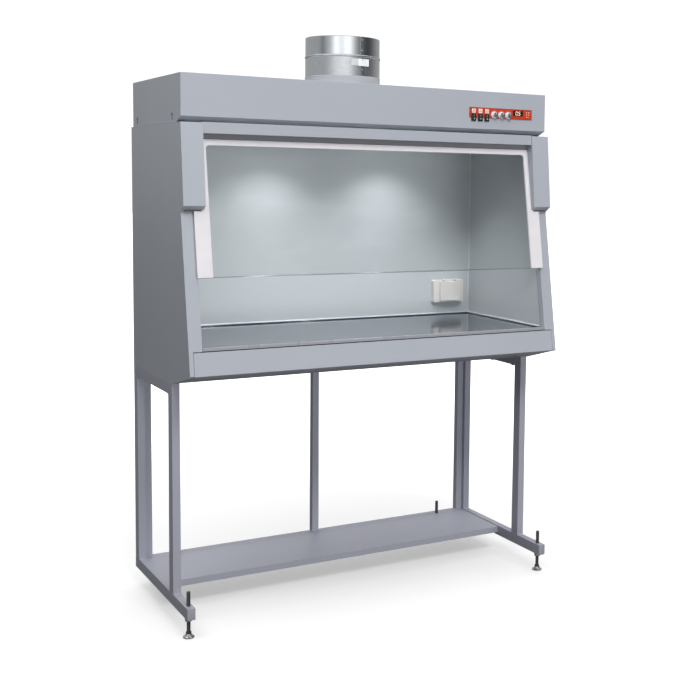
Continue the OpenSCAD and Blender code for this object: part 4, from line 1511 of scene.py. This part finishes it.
    def _status_lamps(self, low: Vector, high: Vector) -> None:
        """Three small status lamps with a pale bar chart beside them."""
        mesh = Mesher()
        x = high.x - 0.0155
        for row in range(3):
            z = (low.z + high.z) / 2 + 0.008 * (row - 1)
            lens = [(0.0, 0.0), (0.0016, 0.0), (0.0015, 0.0005), (0.0009, 0.0010), (0.0, 0.0012)]
            mesh.lathe(lens, self._front_place(x - 0.006, z), 20)
            length = 0.004 + 0.003 * row
            mesh.prism(rounded(length, 0.0018, 0.0006, 2), 0.0, 0.0002,
                       self._front_place(x - 0.001 + length / 2, z))
        mesh.build("status_lamps", Look.TILE, "cabinet", "white_plastic")

    def _rocker(self, name: str) -> None:
        """A rocker key with two slightly hollow halves and a moulded mark on each."""
        node, body = f"rocker_{name}", f"{name}_rocker"
        x = self.kit.middle(node)[0]
        half = 0.0071
        place = shift(0.0, self.rocker_y, self.rocker_z) @ turn("X", -8.0)
        section = [(0.0024, 0.0084)]
        for i in range(13):
            height = self.key_half * (1 - i / 6)
            share = abs(height) / self.key_half
            depth = -0.0044 - 0.0012 * share ** 1.6
            section.append((depth, height))
        section.append((0.0024, -0.0084))
        mesh = Mesher()
        cuts = ((-half, 0.955), (-half + 0.0005, 1.0), (half - 0.0005, 1.0), (half, 0.955))
        mesh.rings([
            [place @ Vector((x + offset, y, z)) for y, z in scaled(section, shrink)]
            for offset, shrink in cuts
        ])
        mesh.build(f"{name}_rocker_key", Look.BLACK, body, "black_plastic", [node], crease=50.0)
        marks = Mesher()
        spot = place @ shift(x, -0.00515, 0.0052) @ turn("X", 97.0)
        marks.prism(rounded(0.0009, 0.0044, 0.0003, 2), 0.0, 0.0003, spot)
        spot = place @ shift(x, -0.00515, -0.0052) @ turn("X", 83.0)
        marks.lathe(oblong(0.0014, 0.0021, 0.0, 0.0003), spot, 24, closed=True)
        marks.build(f"{name}_rocker_marks", Look.WHITE, body, "white_plastic")

    def _knob(self, name: str) -> None:
        """A pale fluted knob with a dark cap and a pale pointer mark."""
        node, body = f"knob_{name}", f"{name}_knob"
        low, high = self.kit.span(node)
        x, _, z = self.kit.middle(node)
        radius, tall = (high.x - low.x) / 2, self.knob_y - low.y
        place = facing((x, self.knob_y, z), (0.0, -1.0, 0.0))
        base = Mesher()
        base.lathe(
            [
                (0.0, -0.006), (0.0029, -0.006), (0.0029, 0.0), (radius, 0.0), (radius, 0.0014),
                (radius - 0.0006, 0.0024), (0.0102, 0.0031), (0.0, 0.0031),
            ],
            place, 64,
        )
        flutes = []
        for i in range(96):
            angle = TAU * i / 96
            reach = self.flute_r + 0.0005 * (0.5 + 0.5 * math.cos(angle * 16))
            flutes.append((reach * math.cos(angle), reach * math.sin(angle)))
        base.prism(flutes, 0.0028, tall - 0.0016, place, 0.0006)
        base.build(f"{name}_knob_body", Look.WHITE, body, "white_plastic", [node])
        cap = Mesher()
        cap.lathe([(0.0, tall - 0.0020), (0.0087, tall - 0.0020), (0.0087, tall - 0.0014),
                   (0.0080, tall - 0.0008), (0.0, tall - 0.0006)], place, 48)
        cap.prism(oblong(-0.0008, 0.0008, 0.0090, 0.0116), 0.0022, 0.0031, place)
        pointer = Mesher()
        line = oblong(-0.0007, 0.0007, 0.0010, 0.0076)
        pointer.prism(line, tall - 0.0012, tall, place, 0.0004)
        pointer.build(f"{name}_knob_pointer", Look.WHITE, body, "white_plastic")
        cap.build(f"{name}_knob_cap", Look.GREY_PLASTIC, body, "black_plastic")


# ---- Socket ----------------------------------------------------------------------------


@dataclass
class WallSocket:
    """The surface socket on the back wall, with its sprung flip lid."""

    kit: Assembly
    well_r: float = 0.021
    hinge_y: float = 0.196
    hinge_z: float = 1.015
    front_y: float = 0.200
    middle_z: float = 0.972
    well_drop: float = 0.006
    knuckle_half: float = 0.006

    def build(self) -> None:
        """Builds the box, the well's contacts and the lid."""
        self._box()
        self._contacts()
        self._lid()

    def _box(self) -> None:
        """The box with the round well, hinge knuckles and a drip edge."""
        low, high = self.kit.span("socket_base")
        x = self.kit.middle("socket_base")[0]
        depth, floor = high.y - self.front_y, high.y - self.front_y - 0.0118
        well = Vector((0.0, -self.well_drop))
        outer = rounded(high.x - low.x, 0.084, 0.005)
        sizes = ((1.0, 0.0), (1.0, depth - 0.0025), (0.994, depth - 0.0008), (0.98, depth))
        stages = [(scaled(outer, size), z) for size, z in sizes]
        rim = [well + Vector(point).normalized() * self.well_r for point in outer]
        for grow, z in ((1.12, depth), (1.06, depth), (1.0, depth - 0.0006), (1.0, floor)):
            stages.append(([tuple(well + (point - well) * grow) for point in rim], z))
        stages.append(([tuple(well)], floor))
        mesh = Mesher()
        mesh.stack(stages, facing((x, high.y, self.middle_z), (0.0, -1.0, 0.0)))
        half = self.knuckle_half
        for offset in (-0.024, 0.024):
            knuckle = facing((x + offset - half, self.hinge_y, self.hinge_z), (1.0, 0.0, 0.0))
            mesh.lathe(oblong(0.0021, 0.0039, 0.0, 0.012), knuckle, 24, closed=True)
            mesh.block((x + offset - half, self.hinge_y + 0.0022, self.hinge_z - 0.0055),
                       (x + offset + half, self.front_y + 0.002, self.hinge_z + 0.002), 0.0006)
        mesh.build("socket_box", Look.CREAM, "cabinet", "cream_plastic", ["socket_base"], 30.0)

    def _contacts(self) -> None:
        """Pin holes and the two side springs inside the well."""
        mesh = Mesher()
        x, z = self.kit.middle("socket_base")[0], self.middle_z - self.well_drop
        y = self.front_y + 0.0117
        for offset in (-0.0095, 0.0095):
            place = facing((x + offset, y, z), (0.0, -1.0, 0.0))
            mesh.lathe(oblong(0.0, 0.0026, 0.0, 0.0003), place, 20)
        mesh.build("socket_pin_holes", Look.BLACK, "cabinet", "black_plastic")
        springs = Mesher()
        for side in (-1, 1):
            low = (x - 0.002, y - 0.009, z + side * 0.0195 - 0.0008)
            springs.block(low, (low[0] + 0.004, y, low[2] + 0.0016), 0.0005)
        springs.build("socket_earth_springs", Look.BRIGHT, "cabinet", "spindle_steel")

    def _lid(self) -> None:
        """The lid: a hollow cover with raised ribs, a finger lip and its hinge barrel."""
        low, high = self.kit.span("socket_lid")
        back, height = 0.1997, 0.074
        x = self.kit.middle("socket_lid")[0]
        width, depth = high.x - low.x, back - low.y
        place = facing((x, back, self.middle_z), (0.0, -1.0, 0.0))
        outer, inner = rounded(width, height, 0.005), rounded(width - 0.006, height - 0.006, 0.003)
        stages = (
            (inner, 0.97, depth - 0.0032), (inner, 1.0, depth - 0.0042), (inner, 1.0, 0.0),
            (outer, 1.0, 0.0), (outer, 1.0, depth - 0.0042), (outer, 0.988, depth - 0.0016),
            (outer, 0.955, depth - 0.0005),
        )
        mesh = Mesher()
        mesh.stack([(scaled(ring, size), z) for ring, size, z in stages], place)
        for row in range(3):
            rib = place @ shift(0.0, 0.020 - 0.0075 * row, depth - 0.0008)
            mesh.prism(rounded(width * 0.74, 0.0022, 0.001, 3), 0.0, 0.0007, rib, 0.0004)
        mesh.prism(rounded(0.030, 0.0050, 0.002, 4), 0.0, 0.0008,
                   place @ shift(0.0, -0.0310, depth - 0.0009), 0.0005)
        barrel = facing((x - 0.0175, self.hinge_y, self.hinge_z), (1.0, 0.0, 0.0))
        mesh.lathe(oblong(0.0, 0.0029, 0.0, 0.035), barrel, 24)
        mesh.block((x - 0.0175, 0.1930, 1.0075), (x + 0.0175, 0.1958, 1.0145), 0.0008)
        pin = facing((x - 0.0305, self.hinge_y, self.hinge_z), (1.0, 0.0, 0.0))
        mesh.lathe([(0.0, 0.0), (0.0017, 0.0004), (0.0019, 0.0008), (0.0019, 0.0602),
                    (0.0017, 0.0606), (0.0, 0.0610)], pin, 20)
        mesh.build("socket_flip_lid", Look.CREAM, "lid", "cream_plastic", ["socket_lid"], 30.0)


# ---- Studio ----------------------------------------------------------------------------


@dataclass(frozen=True)
class Shot:
    """The camera: where it stands, how it looks, and its lens."""

    stand: Point = (-1.6776, -3.5523, 1.3849)
    yaw: float = math.radians(31.48)
    pitch: float = math.radians(-5.18)
    roll: float = math.radians(0.94)
    lens: float = 60.62
    shift_x: float = -0.1923
    shift_y: float = -0.0817

    def place(self) -> None:
        """Makes the camera and gives it to the scene."""
        ahead = Vector((
            math.sin(self.yaw) * math.cos(self.pitch), math.cos(self.yaw) * math.cos(self.pitch),
            math.sin(self.pitch),
        ))
        level = Vector((math.cos(self.yaw), -math.sin(self.yaw), 0.0))
        above = level.cross(ahead)
        right = level * math.cos(self.roll) + above * math.sin(self.roll)
        top = above * math.cos(self.roll) - level * math.sin(self.roll)
        data = bpy.data.cameras.new("camera")
        data.lens, data.sensor_width = self.lens, 36.0
        data.shift_x, data.shift_y = self.shift_x, self.shift_y
        camera = put("camera", data)
        turned = Matrix((right, top, -ahead)).transposed().to_4x4()
        camera.matrix_world = Matrix.Translation(self.stand) @ turned
        bpy.context.scene.camera = camera


@dataclass(frozen=True)
class Panel:
    """A rectangular soft light.

    It hangs at spot and faces aim. size is its width and height, power is in watts, mirrored says
    whether glossy surfaces show it, and spread is the angle of its cone in degrees.
    """

    name: str
    spot: Point
    aim: Point
    size: tuple[float, float]
    power: float
    mirrored: bool = False
    spread: float = 180.0

    def hang(self) -> None:
        """Adds the light to the scene."""
        data = bpy.data.lights.new(self.name, "AREA")
        data.shape, data.size, data.size_y = "RECTANGLE", *self.size
        data.energy, data.spread = self.power, math.radians(self.spread)
        light = put(self.name, data)
        light.location = self.spot
        aim = Vector(self.aim) - Vector(self.spot)
        light.rotation_euler = aim.to_track_quat("-Z", "Y").to_euler()
        light.visible_glossy = self.mirrored


def chamber_lamp(name: str, side: int) -> Panel:
    """The light of one lamp in the chamber's ceiling, on side -1 or 1."""
    x = side * LAMP_X
    return Panel(name, (x, LAMP_Y, 1.5425), (x, LAMP_Y, 0.9), (0.085, 0.085), 1.25, True, 110.0)


@dataclass
class Studio:
    """Plain pale floor, pale surroundings and soft lights.

    Each band of the surroundings has its bearing from +Y in degrees, its sharpness and its gain.
    """

    floor_half: float = 40.0
    clear_r: tuple[float, float] = (1.1, 3.2)
    soft_lift: float = 0.42
    sky: float = 0.14
    bands: tuple[tuple[float, float, float], ...] = (
        (225.0, 50.0, 0.85), (186.0, 30.0, 0.85), (205.0, 5.0, 0.75), (268.0, 60.0, -0.24),
        (122.0, 4.0, -0.36),
    )
    panels: tuple[Panel, ...] = (
        Panel("key_light", (-0.6, -3.6, 4.4), (0.0, 0.0, 1.2), (2.2, 1.4), 118.0),
        Panel("front_light", (0.8, -4.6, 0.8), (0.1, 0.0, 0.7), (2.4, 0.9), 74.0),
        Panel("fill_light", (-2.1, -0.7, 3.4), (-0.6, 0.0, 1.5), (1.4, 1.4), 26.0),
        Panel("top_light", (0.2, 0.6, 4.6), (0.0, 0.0, 0.0), (4.8, 3.6), 80.0, True),
        Panel("rear_light", (0.9, 4.4, 2.6), (0.0, 0.0, 1.0), (3.0, 2.0), 60.0),
        Panel("side_light", (4.4, 0.6, 2.4), (0.0, 0.0, 1.0), (2.4, 2.0), 28.0),
        chamber_lamp("chamber_lamp_left", -1),
        chamber_lamp("chamber_lamp_right", 1),
    )

    def build(self) -> None:
        """Makes the floor, the surroundings and the lights."""
        self._floor()
        self._surroundings()
        for panel in self.panels:
            panel.hang()
        view = bpy.context.scene.view_settings
        view.view_transform, view.look = "Standard", "None"

    def _floor(self) -> None:
        """The floor sheet, which fades into the white surroundings away from the stand."""
        mesh = bpy.data.meshes.new("floor")
        h = self.floor_half
        mesh.from_pydata([(-h, -h, 0), (h, -h, 0), (h, h, 0), (-h, h, 0)], [], [(0, 1, 2, 3)])
        floor = put("floor", mesh)
        material, graph = new_material("floor_look")
        seen = graph.ray_is("Camera")
        reach = graph.make("ShaderNodeVectorMath", {"operation": "LENGTH"}, {0: graph.place()}, "Value")
        cloud = graph.noise(0.8, 2.0)
        paper = 0.11 + seen * 0.50 + cloud * 0.02
        lift = seen * (self.soft_lift + reach.ramp(*self.clear_r))
        graph.show(graph.surface(
            Base_Color=paper, Roughness=0.85, Emission_Color=lift, Emission_Strength=1.0
        ))
        mesh.materials.append(material)

    def _surroundings(self) -> None:
        """White behind everything; dim all round, with a bright and a dark side, in reflections."""
        world = bpy.data.worlds.new("surroundings")
        world.use_nodes = True
        bpy.context.scene.world = world
        graph = Graph(world.node_tree, "ShaderNodeOutputWorld")
        ray = graph.make("ShaderNodeTexCoord", output="Generated")

        def towards(way: Point) -> Socket:
            """How far the ray points a way, from 0 to 1."""
            settings, inputs = {"operation": "DOT_PRODUCT"}, {0: ray, 1: way}
            return graph.make("ShaderNodeVectorMath", settings, inputs, "Value").clamp()

        up = towards((0.0, 0.0, 1.0))
        soft = self.sky + up * 0.30
        mirrored = 0.40 + up * 0.2
        for bearing, sharpness, gain in self.bands:
            angle = math.radians(bearing)
            lobe = towards((math.sin(angle), math.cos(angle), 0.0)) ** sharpness
            mirrored = mirrored + lobe * gain
        mirrored = mirrored.clamp(0.04, 2.0)
        seen, glossy = graph.ray_is("Camera"), graph.ray_is("Glossy")
        level = soft * (1.0 - glossy) + mirrored * glossy
        strength = level * (1.0 - seen) + seen * 1.1
        graph.show(graph.make("ShaderNodeBackground", {}, {0: (1.0, 1.0, 1.0), 1: strength}))


def main() -> None:
    """Loads the frame, builds each sub-assembly in order and places the camera."""
    logging.basicConfig(level=logging.INFO, format="%(name)s %(message)s")
    for thing in list(bpy.context.scene.objects):
        bpy.data.objects.remove(thing)
    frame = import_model()
    kit = Assembly(frame["nodes"])
    parts = (
        Stand(kit), Cabinet(kit), Chamber(kit), Sash(kit, Slope()), Header(kit), Controls(kit),
        WallSocket(kit), Studio(),
    )
    for part in parts:
        LOG.info("building %s", type(part).__name__)
        part.build()
    Shot().place()


if __name__ == "__main__":
    main()
